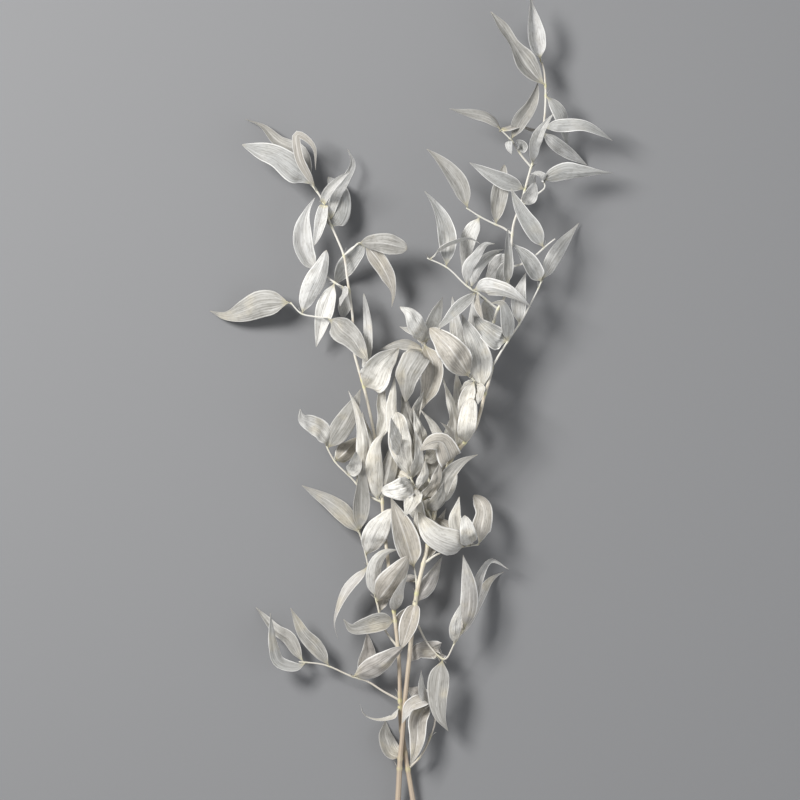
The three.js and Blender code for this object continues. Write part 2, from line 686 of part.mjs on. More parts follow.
// One leaf: a thin blade with a sharp rim, a stalk and a pointed tip. from is
// the share of its length where the solid begins, margin thickens it all round.
function blade(leaf, start, lift, turn, from = 0, margin = 0) {
  const { line, wide, rise, arch = 2, roll = 0, twist = 0, outline = 'pointed' } = leaf;
  const curve = curveFrom(start, line, rise + lift, arch + lift / 3);
  const rings = [];
  for (const [station, at] of BLADE_STATIONS.entries()) {
    if (at < from) continue;
    const share = OUTLINES[outline][station];
    const centre = curve.getPointAt(at);
    const { across, up } = squareTo(curve.getTangentAt(at), roll + turn + twist * at);
    const half = Math.max(wide * SQUARE * share, PETIOLE_WIDTH) / 2 + margin;
    const thick = LEAF_THICKNESS / 2 + margin;
    rings.push(onSurface([
      centre.clone().addScaledVector(across, half),
      centre.clone().addScaledVector(up, thick),
      centre.clone().addScaledVector(across, -half),
      centre.clone().addScaledVector(up, -thick),
    ]));
  }
  const tip = curve.getPointAt(1).addScaledVector(curve.getTangentAt(1), margin);
  tip.z = Math.max(tip.z, 0);
  return skin(rings, tip);
}

// -------------------------------------------------------------- stems, twigs

const stemCurves = {};
const bodies = [];

for (const [name, stem] of Object.entries(STEMS)) {
  const points = stem.route.map(([x, y, z]) => place(x, y, z));
  const curve = new THREE.CatmullRomCurve3(points, false, 'centripetal');
  stemCurves[name] = curve;
  bodies.push({
    name,
    solid: rod(curve, STEM_RINGS, STEM_SIDES, stem.cutRadius, stem.topRadius, STEM_TAPER),
    hollow: rod(
      curve, STEM_RINGS, STEM_SIDES, stem.cutRadius, stem.topRadius, STEM_TAPER, TOUCH_GAP,
    ),
    material: dryStem(),
  });
}

const stemBodies = [...bodies];

// Cuts a twig or leaf back so that it ends just short of the stems.
function clearOfStems(solid) {
  return stemBodies.reduce((rest, stem) => rest.subtract(stem.hollow), solid);
}

for (const [name, twig] of Object.entries(TWIGS)) {
  const start = nearestOn(stemCurves[twig.stem], twig.route[0]);
  const curve = curveFrom(start, twig.route, twig.climb, 0);
  twig.curve = curve;
  bodies.push({
    name,
    solid: rod(curve, TWIG_RINGS, TWIG_SIDES, TWIG_ROOT_RADIUS, TWIG_TIP_RADIUS, 1),
    material: dryLeaf(),
  });
}

for (const [name, leaf] of Object.entries(STEM_LEAVES)) {
  bodies.push({ name, material: dryLeaf(), leaf });
}

// ------------------------------------------------------------ leaves, placed
// Every leaf takes the posture nearest to its stated one, lifted or rolled in
// small steps, in which it clears all that already stands.

const POSTURES = [];
for (let lift = -LIFT_LIMIT; lift <= LIFT_LIMIT; lift += LIFT_STEP) {
  for (let turn = -TURN_LIMIT; turn <= TURN_LIMIT; turn += TURN_STEP) {
    POSTURES.push({ lift, turn, change: Math.hypot(lift / LIFT_STEP, turn / TURN_STEP) });
  }
}
POSTURES.sort((a, b) => a.change - b.change);

function boxesMeet(a, b) {
  return [0, 1, 2].every((axis) => a.min[axis] <= b.max[axis] && b.min[axis] <= a.max[axis]);
}

const obstacles = [];

function addObstacle(owner, solid) {
  obstacles.push({ owner, solid, box: solid.boundingBox() });
}

function isFree(owner, blank, siblingBlank) {
  const box = blank.boundingBox();
  return obstacles.every((other) => {
    if (!boxesMeet(box, other.box)) return true;
    if (other.owner === owner && other.stalk) return true;
    const probe = other.owner === owner ? siblingBlank : blank;
    return probe.intersect(other.solid).isEmpty();
  });
}

function settle(owner, leaf, start) {
  for (const { lift, turn } of POSTURES) {
    const blank = blade(leaf, start, lift, turn, FREE_FROM, LEAF_CLEARANCE);
    const siblingBlank = blade(leaf, start, lift, turn, SIBLING_FREE_FROM, LEAF_CLEARANCE / 2);
    if (isFree(owner, blank, siblingBlank)) {
      return blade(leaf, start, lift, turn);
    }
  }
  throw new Error(`no free place for a leaf of ${owner} at ${leaf.line[0]}`);
}

for (const { name, solid } of bodies.filter((body) => body.solid)) {
  addObstacle(name, solid);
  obstacles[obstacles.length - 1].stalk = true;
}

for (const body of bodies) {
  const twig = TWIGS[body.name];
  for (const leaf of twig?.leaves ?? []) {
    const blades = settle(body.name, leaf, nearestOn(twig.curve, leaf.line[0]));
    addObstacle(body.name, blades);
    body.solid = body.solid.add(blades);
  }
  if (body.leaf) {
    body.solid = settle(body.name, body.leaf, nearestOn(stemCurves[body.leaf.stem], body.leaf.line[0]));
    addObstacle(body.name, body.solid);
  }
}

// ---------------------------------------------------------------- the spray

const group = new THREE.Group();

for (const body of bodies) {
  const solid = STEMS[body.name] ? body.solid : clearOfStems(body.solid).asOriginal().simplify(WELD);
  const mesh = new THREE.Mesh(geometryOf(solid), body.material);
  mesh.name = body.name;
  group.add(mesh);
}

// The origin is the centre of the spray's outline, on the surface it lies on.
const outline = new THREE.Box3().setFromObject(group);
const middle = outline.getCenter(new THREE.Vector3());
group.position.set(-middle.x, -middle.y, -outline.min.z);

export default group;
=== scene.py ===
# %% [markdown]
# # A spray of bleached dried ruscus
# Two cut stems cross low down and lie on a table. Side twigs leave them at
# swollen joints, and a hundred and forty-eight papery leaves grow on the twigs
# and on the stems themselves. The plain CAD solids hold the true places and
# sizes. This lesson reads them back and grows a finer plant around them.

# %% Load the frame
from itertools import combinations
import bpy
import numpy as np
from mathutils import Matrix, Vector
from mathutils.bvhtree import BVHTree


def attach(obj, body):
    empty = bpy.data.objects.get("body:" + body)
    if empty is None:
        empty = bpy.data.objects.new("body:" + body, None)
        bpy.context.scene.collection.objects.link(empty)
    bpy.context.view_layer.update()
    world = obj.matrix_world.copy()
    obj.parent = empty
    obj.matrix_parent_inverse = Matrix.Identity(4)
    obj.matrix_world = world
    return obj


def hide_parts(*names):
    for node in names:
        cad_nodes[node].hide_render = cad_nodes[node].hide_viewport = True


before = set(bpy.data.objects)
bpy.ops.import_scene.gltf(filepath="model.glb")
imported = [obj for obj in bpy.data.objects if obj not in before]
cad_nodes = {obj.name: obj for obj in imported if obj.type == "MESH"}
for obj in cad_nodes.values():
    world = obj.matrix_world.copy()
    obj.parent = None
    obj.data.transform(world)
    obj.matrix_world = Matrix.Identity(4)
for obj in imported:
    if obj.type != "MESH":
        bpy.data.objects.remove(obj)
bpy.context.view_layer.update()
chance = np.random.default_rng(7)

# %% [markdown]
# ## Small tools for points and curves
# A plant is made of curves, so two tools come first. One makes vectors a unit
# long. The other draws a smooth curve through a few knots. Blender's own curve
# objects could do this too, but a formula gives the points as one array, which
# the leaves and stems below need.

# %% Unit vectors and smooth curves


def unit(vectors):
    """Each vector divided by its own length."""
    return vectors / np.linalg.norm(vectors, axis=-1, keepdims=True)


def smooth(at, knots, wanted):
    """Cubic Hermite curve through the knots. The slope at a knot is the mean of
    the two chords beside it, each weighted by the other one's span."""
    span = np.diff(at)[:, None]
    chord = np.diff(knots, axis=0) / span
    inner = (chord[:-1] * span[1:] + chord[1:] * span[:-1]) / (span[1:] + span[:-1])
    slope = np.concatenate([chord[:1], inner, chord[-1:]])
    i = np.clip(np.searchsorted(at, wanted, side="right") - 1, 0, len(at) - 2)
    s = ((wanted - at[i]) / span[i, 0])[:, None]
    return (
        (1 + 2 * s) * (1 - s) ** 2 * knots[i] + s * (1 - s) ** 2 * span[i] * slope[i]
        + s * s * (3 - 2 * s) * knots[i + 1] + s * s * (s - 1) * span[i] * slope[i + 1]
    )


def run_along(points):
    """Length of the path from its first point to each point."""
    steps = np.linalg.norm(np.diff(points, axis=0), axis=1)
    return np.concatenate([[0.0], np.cumsum(steps)])


def square_to(along, hint):
    """Two directions square to a path: the part of hint that is square to it,
    and the cross product of the path with that."""
    across = unit(hint - (hint * along).sum(-1, keepdims=True) * along)
    return across, np.cross(along, across)


# %% [markdown]
# ## Reading the blades of the CAD solids
# Every leaf in the CAD model is a flat diamond in section, with a sharp rim on
# both sides that runs to the tip. The rim is easy to find: it is where two
# faces fold back on each other. Following it gives the leaf's outline, and the
# outline gives its midrib, width and lean. The leaves could also be listed
# again by hand, but reading them keeps the two models in step.

# %% Find the folded edges of a solid
FOLD = -0.5  # cosine between two faces' normals that counts as a sharp rim
WELD = 6  # decimals of a metre that decide whether two corners are one
LEAST_AREA = 1e-10  # square metres; a smaller face has no sure direction
NOT_ZERO = 1e-15  # what a size is raised to before something is divided by it


def welded(node):
    """The node's loose triangles as shared corners and triples of them."""
    mesh = node.data
    points = np.empty(len(mesh.vertices) * 3, np.float32)
    mesh.vertices.foreach_get("co", points)
    corners = np.empty(len(mesh.loops), np.int32)
    mesh.loops.foreach_get("vertex_index", corners)
    verts, places = np.unique(
        np.round(points.reshape(-1, 3).astype(float), WELD), axis=0, return_inverse=True
    )
    return verts, places.reshape(-1)[corners].reshape(-1, 3)


def folded_edges(verts, faces):
    """Pairs of corners where two faces meet at a sharp outward fold: their
    normals nearly oppose, and the far corner lies below the first face."""
    a, b, c = (verts[faces[:, k]] for k in range(3))
    normal = np.cross(b - a, c - a)
    size = np.linalg.norm(normal, axis=1)
    normal /= np.maximum(size, NOT_ZERO)[:, None]
    ends = np.sort(np.concatenate([faces[:, [0, 1]], faces[:, [1, 2]], faces[:, [2, 0]]]), axis=1)
    owner = np.tile(np.arange(len(faces)), 3)
    far = np.concatenate([faces[:, 2], faces[:, 0], faces[:, 1]])
    order = np.lexsort((ends[:, 1], ends[:, 0]))
    ends, owner, far = ends[order], owner[order], far[order]
    i = np.nonzero((ends[1:] == ends[:-1]).all(axis=1))[0]
    f, g = owner[i], owner[i + 1]
    facing = (normal[f] * normal[g]).sum(axis=1)
    below = ((verts[far[i + 1]] - verts[ends[i, 0]]) * normal[f]).sum(axis=1) < 0
    real = (size[f] > LEAST_AREA) & (size[g] > LEAST_AREA)
    return ends[i][(facing < FOLD) & below & real]


# %% Follow the folded edges into chains
SHORTEST_LEAF = 0.010
SHORTEST_EDGE = 0.0015  # a turn beside a shorter edge is not a tip
TIP_TURN = 90.0  # degrees; a rim turns by more than this only at the tip


def chains(edges):
    """Edges joined end to end; a loop comes back to its first corner."""
    beside = {}
    for a, b in edges.tolist():
        beside.setdefault(a, []).append(b)
        beside.setdefault(b, []).append(a)
    walked, found = set(), []
    ends = [v for v in beside if len(beside[v]) != 2]
    for start in ends + list(beside):
        for following in beside[start]:
            chain = [start, following]
            if tuple(chain) in walked:
                continue
            walked |= {(start, following), (following, start)}
            while len(beside[chain[-1]]) == 2:
                step = [v for v in beside[chain[-1]] if (chain[-1], v) not in walked]
                if not step:
                    break
                walked |= {(chain[-1], step[0]), (step[0], chain[-1])}
                chain.append(step[0])
            found.append(chain)
    return found


def rim_sides(points):
    """The tip and the rim's two sides, each a list of points from the tip down,
    or None where no leaf is. The tip is the sharpest turn between edges that
    are not tiny. A closed rim is laid out three times over, so that its tip has
    points on both sides."""
    closed = np.array_equal(points[0], points[-1])
    lap = len(points) - 1
    laid = np.tile(points[:-1], (3, 1)) if closed else points
    turn = turns(laid)
    before = np.linalg.norm(laid[1:-1] - laid[:-2], axis=1)
    after = np.linalg.norm(laid[2:] - laid[1:-1], axis=1)
    shorter = np.minimum(before, after)
    pointed = (turn > TIP_TURN) & (shorter > SHORTEST_EDGE)
    if closed:
        pointed[:lap - 1] = False
        pointed[2 * lap - 1:] = False
    if run_along(points)[-1] < SHORTEST_LEAF or not pointed.any():
        return None
    tip = 1 + int(np.argmax(np.where(pointed, turn, 0)))
    reach = lap // 2 if closed else lap
    return laid[tip], laid[max(tip - reach, 0):tip][::-1], laid[tip + 1:tip + 1 + reach]


def turns(points):
    """Turn of the path at each inner point, in degrees."""
    step = unit(np.diff(points, axis=0))
    return np.degrees(np.arccos(np.clip((step[1:] * step[:-1]).sum(axis=1), -1, 1)))


# %% Read a leaf from its rim
# The CAD rim has corners at these shares of the leaf's length, and these are its
# half widths there as shares of the widest place.
CORNERS_AT = (0.8, 0.56, 0.32, 0.15)
CORNER_SHARE = (0.46, 0.86, 1.0, 0.7)
WHOLE_STEP = 0.85  # a side was cut short where its step is a smaller share of what it should be


def corner_pair(sides, k, length, widest):
    """Middle of the rim's k-th pair of corners and the arrow from the middle to
    the first side. A side that was cut short there is rebuilt from the other."""
    step = CORNERS_AT[k - 1] - CORNERS_AT[k] if k else 0
    least = WHOLE_STEP * step * length
    whole = [
        len(side) > k and (k == 0 or np.linalg.norm(side[k] - side[k - 1]) > least)
        for side in sides
    ]
    if all(whole):
        return (sides[0][k] + sides[1][k]) / 2, (sides[0][k] - sides[1][k]) / 2
    arrow = CORNER_SHARE[k] * widest
    if whole[0]:
        return sides[0][k] - arrow, arrow
    if whole[1]:
        return sides[1][k] + arrow, arrow
    return None, arrow


def read_leaf(tip, left, right):
    """Midrib points with their shares of the length, the crosswise arrows there,
    their lengths as shares of the third one's, and that one's length."""
    sides = (left, right)
    middles, arrows, at = [tip], [], [1.0]
    length, widest = 1.0, None
    for k in range(len(CORNERS_AT)):
        if k == 2:
            length = run_along(np.array(middles))[-1] / (1 - CORNERS_AT[1])
            widest = arrows[1] / CORNER_SHARE[1]
        middle, arrow = corner_pair(sides, k, length if k > 1 else 0.0, widest)
        if middle is None:
            continue
        middles.append(middle)
        arrows.append(arrow)
        at.append(CORNERS_AT[k])
        if k == 2:
            widest = arrow
    return {
        "at": np.array(at[::-1]),
        "middles": np.array(middles[::-1]),
        "arrows": np.array(arrows[::-1]),
        "shares": np.linalg.norm(arrows[::-1], axis=1) / np.linalg.norm(widest),
        "half": float(np.linalg.norm(widest)),
        "length": length,
    }


def read_leaves(node):
    """Every leaf of a CAD node."""
    verts, faces = welded(node)
    rims = [rim_sides(verts[chain]) for chain in chains(folded_edges(verts, faces)) if len(chain) > 4]
    return [read_leaf(*rim) for rim in rims if rim is not None and min(map(len, rim[1:])) > 1]


leaves = {name: read_leaves(node) for name, node in cad_nodes.items() if "stem" not in name}
print("leaves read:", sum(map(len, leaves.values())))
print({name: len(found) for name, found in leaves.items() if len(found) != 1})

# %% [markdown]
# ## The stems as paths
# Each stem is a rod with eight corners to a ring in the CAD model. The middles
# of the rings are its path, and their distance to the corners its thickness. A
# stem climbs steadily along Y, so sorting the corners by Y sorts the rings.

# %% Read the two stems
RING_CORNERS = 8


def read_stem(node):
    """Ring middles from the cut end upwards and the radius at each."""
    verts, _ = welded(node)
    rings = verts[np.argsort(verts[:, 1])].reshape(-1, RING_CORNERS, 3)
    middles = rings.mean(axis=1)
    radii = np.linalg.norm(rings - middles[:, None], axis=2).mean(axis=1)
    return middles, radii


def even_steps(path, values, step):
    """The path and the values beside it, taken again every step of its length."""
    run = run_along(path)
    wanted = np.linspace(0, run[-1], int(round(run[-1] / step)) + 1)
    return smooth(run, path, wanted), np.interp(wanted, run, values)


STEM_STEP = 0.0025
stems = {
    name: even_steps(*read_stem(cad_nodes[name]), STEM_STEP)
    for name in ("left_stem", "right_stem")
}
for name, (path, radii) in stems.items():
    print(name, "length %.3f m, %d rings" % (run_along(path)[-1], len(path)))

# %% [markdown]
# ## The twigs as paths
# A twig's rod is partly hidden under its leaves in the CAD solid, so its route
# is given again as the squares of the drawing that the part was laid out on.
# One square is 0.75 mm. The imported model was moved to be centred, and the left
# stem's cut end, which is at a known square, gives that move.

# %% Place the twigs
SQUARE = 0.00075
CUT_END_SQUARE = (427, 890)
TWIG_STEP = 0.0012
TWIG_ROOT_RADIUS = 0.00085
TWIG_TIP_RADIUS = 0.0005
TWIGS = {  # stem, climb in millimetres, route in squares
    "top_twig": ("right_stem", 4, [(531, 168), (521, 157), (511, 142), (500, 131)]),
    "short_upper_twig": ("right_stem", 3, [(520, 208), (530, 201), (537, 195), (544, 188), (543, 182)]),
    "right_stub_twig": ("right_stem", 8, [(511, 270), (523, 264), (535, 256), (545, 247), (554, 240)]),
    "upper_left_twig": ("right_stem", 2, [(512, 235), (503, 229), (494, 225), (480, 218), (466, 209)]),
    "middle_left_twig": (
        "right_stem", 3, [(498, 309), (490, 304), (479, 295), (467, 287), (446, 268), (427, 259)]),
    "right_fork_twig": (
        "right_stem", -5,
        [(491, 366), (501, 351), (508, 340), (519, 324), (530, 304), (538, 288), (541, 281)]),
    "inner_right_twig": ("right_stem", 5, [(484, 393), (479, 387), (475, 382), (469, 377)]),
    "centre_twig": (
        "right_stem", 5,
        [(438, 497), (428, 478), (420, 452), (417, 430), (422, 400), (422, 365), (425, 343)]),
    "inner_left_twig": ("right_stem", 9, [(432, 521), (424, 503), (411, 478), (403, 452)]),
    "lower_spur": ("right_stem", 3, [(417, 592), (416, 578), (414, 567)]),
    "thin_left_twig": (
        "left_stem", 5, [(396, 648), (385, 629), (376, 598), (370, 575), (366, 555), (359, 530)]),
    "lower_left_twig": (
        "left_stem", 2, [(400, 700), (384, 691), (366, 680), (353, 676), (324, 664), (299, 661)]),
    "lower_right_twig": ("left_stem", 5, [(409, 768), (421, 755), (430, 737), (435, 718), (430, 703)]),
    "right_low_twig": ("right_stem", 3, [(413, 617), (432, 648), (444, 658), (455, 641), (464, 628)]),
    "right_mid_twig": ("right_stem", 3, [(424, 562), (436, 554), (450, 549), (468, 545), (478, 544)]),
    "left_short_twig": ("left_stem", 3, [(344, 256), (352, 250), (359, 244), (366, 243)]),
    "left_branch_twig": (
        "left_stem", -7, [(354, 348), (343, 332), (328, 319), (315, 317), (302, 314), (291, 303)]),
    "left_inner_twig": ("left_stem", -6, [(350, 293), (343, 288), (335, 283), (328, 278), (317, 268)]),
    "left_low_twig": (
        "left_stem", 4, [(382, 503), (370, 496), (350, 476), (335, 461), (327, 446), (325, 441)]),
}


def unplaced(squares):
    """Squares as metres, with Y up the page."""
    return np.array(squares, float) * (SQUARE, -SQUARE)


moved = read_stem(cad_nodes["left_stem"])[0][0, :2] - unplaced(CUT_END_SQUARE)


def nearest(path, point):
    """Index of the path's point that lies nearest to point, in plan where the
    point has only two numbers."""
    return int(np.argmin(np.linalg.norm(path[:, :len(point)] - point, axis=1)))


def twig_path(stem, climb, route):
    """A smooth path over the route that starts inside its stem and climbs in
    proportion to the way it has gone."""
    path = stems[stem][0]
    start = path[nearest(path, unplaced(route[0]) + moved)]
    plan = np.vstack([start[:2], unplaced(route[1:]) + moved])
    share = run_along(plan) / run_along(plan)[-1]
    knots = np.column_stack([plan, start[2] + climb / 1000 * share])
    radii = TWIG_ROOT_RADIUS + (TWIG_TIP_RADIUS - TWIG_ROOT_RADIUS) * share
    return even_steps(knots, radii, TWIG_STEP)


twigs = {name: twig_path(*facts) for name, facts in TWIGS.items()}
print("twigs:", {name: "%.0f mm" % (1000 * run_along(path)[-1]) for name, (path, _) in twigs.items()})

# %% [markdown]
# ## The foot of each leaf
# A leaf's rim is lost where it dives into its twig, so its foot is found by
# going down the midrib by the missing share of its length and then to the
# nearest point of the twig or stem that carries it.

# %% Find the feet
BUDS = {  # joints with a bud and no leaf: square, and the way the bud points in plan
    "right_stem": [((397, 768), (-1, 0.3)), ((531, 168), (1, 0.5)), ((497, 322), (-1, 0.4))],
    "left_stem": [((405, 752), (1, 0.2)), ((404, 728), (1, 0.6)), ((398, 694), (-1, 0.5)),
                  ((333, 224), (0.8, 0.4)), ((376, 441), (-1, 0.5))],
    "lower_right_twig": [((417, 756), (-0.7, 0.7)), ((432, 735), (1, 0)), ((430, 738), (-1, 0.3))],
    "right_fork_twig": [((538, 288), (-1, 0.2))],
    "thin_left_twig": [((376, 598), (-1, 0.2))],
}


def carrier_of(name):
    """Name and path of what a CAD node's leaves grow on: its own twig, or the
    nearer of the two stems for a leaf that is a node of its own."""
    if name in twigs:
        return name, twigs[name][0]
    lowest = leaves[name][0]["middles"][0]
    gaps = {stem: np.linalg.norm(path - lowest, axis=1).min() for stem, (path, _) in stems.items()}
    stem = min(gaps, key=gaps.get)
    return stem, stems[stem][0]


def add_foot(leaf, path):
    """Puts the foot, a point of the carrying path, in front of the leaf's midrib
    points. The step is that point's place in the path."""
    first = leaf["middles"][0]
    down = unit(leaf["middles"][0] - leaf["middles"][1])
    k = nearest(path, first + down * leaf["at"][0] * leaf["length"])
    leaf["at"] = np.concatenate([[0.0], leaf["at"]])
    leaf["middles"] = np.vstack([path[k], leaf["middles"]])
    leaf["step"] = k


joints_on = {name: [] for name in (*stems, *twigs)}
for name, found in leaves.items():
    carrier, path = carrier_of(name)
    for leaf in found:
        add_foot(leaf, path)
        joints_on[carrier].append(leaf["step"])
for name, (stem, _, _) in TWIGS.items():
    joints_on[stem].append(nearest(stems[stem][0], twigs[name][0][0]))
for name, buds in BUDS.items():
    path = stems[name][0] if name in stems else twigs[name][0]
    joints_on[name] += [nearest(path, unplaced(square) + moved) for square, _ in buds]
print("joints:", {name: len(steps) for name, steps in joints_on.items()})
stretch = [
    np.linalg.norm(leaf["middles"][1] - leaf["middles"][0]) / (leaf["at"][1] * leaf["length"])
    for found in leaves.values() for leaf in found
]
print("foot distance over expected: %.2f to %.2f" % (min(stretch), max(stretch)))

# %% [markdown]
# ## Skins
# Stems, twigs, leaves and the small scales at the joints are all the same kind
# of surface: a row of rings, joined ring to ring and closed at both ends. One
# tool makes it. It also gives each corner a place on the leaf, called UV, with
# U around or across and V along, and a number called tone, which the materials
# use to make one leaf differ from the next.

# %% The skin tool


def volume_of(rings):
    """Signed volume inside a row of rings, by adding up slices: half the cross
    product of each ring's edges, dotted with the way to the next ring."""
    middle = rings.mean(axis=1, keepdims=True)
    spokes = rings - middle
    area = np.cross(spokes, np.roll(spokes, -1, axis=1)).sum(axis=1) / 2
    way = np.gradient(middle[:, 0], axis=0)
    return (area * way).sum()


def outward(rings, u):
    """The rings and their U, turned round where their faces would point inwards."""
    if volume_of(rings) < 0:
        return np.roll(rings[:, ::-1], 1, axis=1), u[::-1]
    return rings, u


def faces_between(rows, corners):
    """Row and corner of each face of a skin, and the four points round it: its
    own corner, the next one of the ring, and the same two of the next row."""
    row, corner = np.meshgrid(np.arange(rows - 1), np.arange(corners), indexing="ij")
    after = (corner + 1) % corners
    return row, corner, np.stack([
        row * corners + corner, row * corners + after,
        (row + 1) * corners + after, (row + 1) * corners + corner], axis=-1)


class Piece:
    """Skins gathered for one object."""

    def __init__(self):
        self.points, self.quads, self.places, self.tones = [], [], [], []
        self.ends, self.finish, self.end_finish = [], [], []
        self.count = 0

    def add_skin(self, rings, u, v, tone, finish):
        """rings is (rows, corners, 3). u has one more value than a ring has
        corners, because the last face comes back to the first corner. v and
        tone have one value for each row."""
        rings, u = outward(rings, u)
        rows, corners = rings.shape[:2]
        row, corner, quads = faces_between(rows, corners)
        places = np.stack([
            np.stack([u[corner], u[corner + 1], u[corner + 1], u[corner]], axis=-1),
            np.stack([v[row], v[row], v[row + 1], v[row + 1]], axis=-1)], axis=-1)
        ring = np.arange(corners)
        self.points.append(rings.reshape(-1, 3))
        self.quads.append(quads.reshape(-1, 4) + self.count)
        self.places.append(places.reshape(-1, 2))
        self.ends += [(ring[::-1] + self.count, v[0]), (ring + self.count + (rows - 1) * corners, v[-1])]
        self.tones.append(np.repeat(tone, corners))
        self.finish += [finish] * quads[..., 0].size
        self.end_finish += [finish] * 2
        self.count += rows * corners

    def build(self, name, materials):
        """One mesh object with its UV map, its tones and its finishes."""
        quads = np.concatenate(self.quads)
        ends = [end.tolist() for end, _ in self.ends]
        mesh = bpy.data.meshes.new(name)
        mesh.from_pydata(np.concatenate(self.points), [], quads.tolist() + ends)
        corners_of_ends = np.concatenate([np.full((len(end), 2), (0.5, v)) for end, v in self.ends])
        uv = mesh.uv_layers.new(name="across_and_along")
        uv.data.foreach_set("uv", np.concatenate(self.places + [corners_of_ends]).astype(np.float32).ravel())
        tone = mesh.attributes.new("tone", "FLOAT", "POINT")
        tone.data.foreach_set("value", np.concatenate(self.tones).astype(np.float32))
        for material in materials:
            mesh.materials.append(material)
        mesh.polygons.foreach_set("material_index", np.array(self.finish + self.end_finish, np.int32))
        mesh.shade_smooth()
        made = bpy.data.objects.new(name, mesh)
        bpy.context.scene.collection.objects.link(made)
        return made


print("the skin tool is ready")

# %% [markdown]
# ## The shape of a leaf
# Most ruscus leaves are widest a third of the way up and draw out into a long
# point, some are oval or blunt, and a few are narrow ribbons. A dried one is as
# thin as paper, cupped or folded, with a faint rib, waving edges, a crumpled
# blade and often a twist or a curl towards the tip. A subdivided plane could be
# bent by hand, but a hundred and forty-eight of them would take days. Here each
# leaf is one grid: along its midrib, and across from rim to rim and back under
# the leaf. The outline comes first, because the CAD solid already holds it.

# %% The outline of a leaf
STALK_AT = np.array([0.0, 0.03, 0.07])
STALK_SHARES = np.array([0.06, 0.09, 0.38])  # shares of the first CAD corner
BROAD_FOOT = np.array([0.55, 0.75, 0.9])
STALKED_CORNER, BROAD_CORNER = 0.75, 0.9
TIP_AT = np.array([0.9, 0.96, 1.0])
POINTED_TIP = np.array([0.5, 0.22, 0.03])  # shares of the last CAD corner
BLUNT_TIP = np.array([0.8, 0.52, 0.1])
POINTED_CORNER, BLUNT_CORNER = 0.46, 0.9


def outline_of(leaf):
    """Places along a leaf and its half widths there as shares of half. They are
    the CAD corners' own, drawn in to a stalk at the foot, or less so where the
    first corner is wide. The wider the last corner, the rounder the tip."""
    shares = leaf["shares"]
    breadth = np.clip((shares[0] - STALKED_CORNER) / (BROAD_CORNER - STALKED_CORNER), 0, 1)
    stalk = shares[0] * (STALK_SHARES + (BROAD_FOOT - STALK_SHARES) * breadth)
    bluntness = np.clip((shares[-1] - POINTED_CORNER) / (BLUNT_CORNER - POINTED_CORNER), 0, 1)
    tip = shares[-1] * (POINTED_TIP + (BLUNT_TIP - POINTED_TIP) * bluntness)
    return (
        np.concatenate([STALK_AT, leaf["at"][1:-1], TIP_AT]), np.concatenate([stalk, shares, tip]))


for found in leaves.values():
    for leaf in found:
        leaf["outline"] = outline_of(leaf)
last_shares = [leaf["shares"][-1] for found in leaves.values() for leaf in found]
print("width at the last corner: %.2f to %.2f of the widest" % (min(last_shares), max(last_shares)))

# %% The leaf surface
STALK_HALF = 0.00050
STALK_SHARE = 0.12  # share of the length over which the stalk widens into the blade
BLADE_HALF_THICK = 0.00013
STALK_HALF_THICK = 0.00032
RIB_HEIGHT = 0.00014
TABLE_GAP = 0.0005  # a leaf's middle surface bends to stay this far above the table
TABLE_EASE = 0.0008
TWIST_FROM = 0.25  # share of the length from which a leaf twists
CREASE_AT = 0.1  # share of the half width beyond which a creased side is bent
CURL_FROM, CURL_OVER = 0.72, 0.28  # share of the length where the curl starts, and the rest of it
LEAST_HALF = 0.0001
UNEVEN, UNEVEN_WAVES = 0.03, 1.7  # how far a leaf's outline wavers, and how often in its length
CUP_LEVEL, WAVE_LEVEL = 0.35, 0.3  # taken off, so that cup and wave lie about the midrib's height
RIB_HALF = 0.13  # share of the half width
CRUMPLE_WAVES = ((2.3, 0.8, 1), (1.1, -1.2, 3))  # along, across, and times the phase
RIM_THINNING = 0.7
STALK_REACH = 0.06  # share of the length over which the stalk's thickness fades
TIP_THICKNESS, TIP_THINNING = 0.15, 12  # share left at the tip, and its rise per length
FINE = {"rows": 26, "across": np.array([0.1, 0.32, 0.58, 0.82, 0.94, 1.0])}
SMALL = {"rows": 8, "across": np.array([0.5, 1.0])}


def above_table(z):
    """A height kept above the table: half of (z + gap + the root of the squares
    of z - gap and of the ease), which is z itself well above it."""
    return (z + TABLE_GAP + np.hypot(z - TABLE_GAP, TABLE_EASE)) / 2


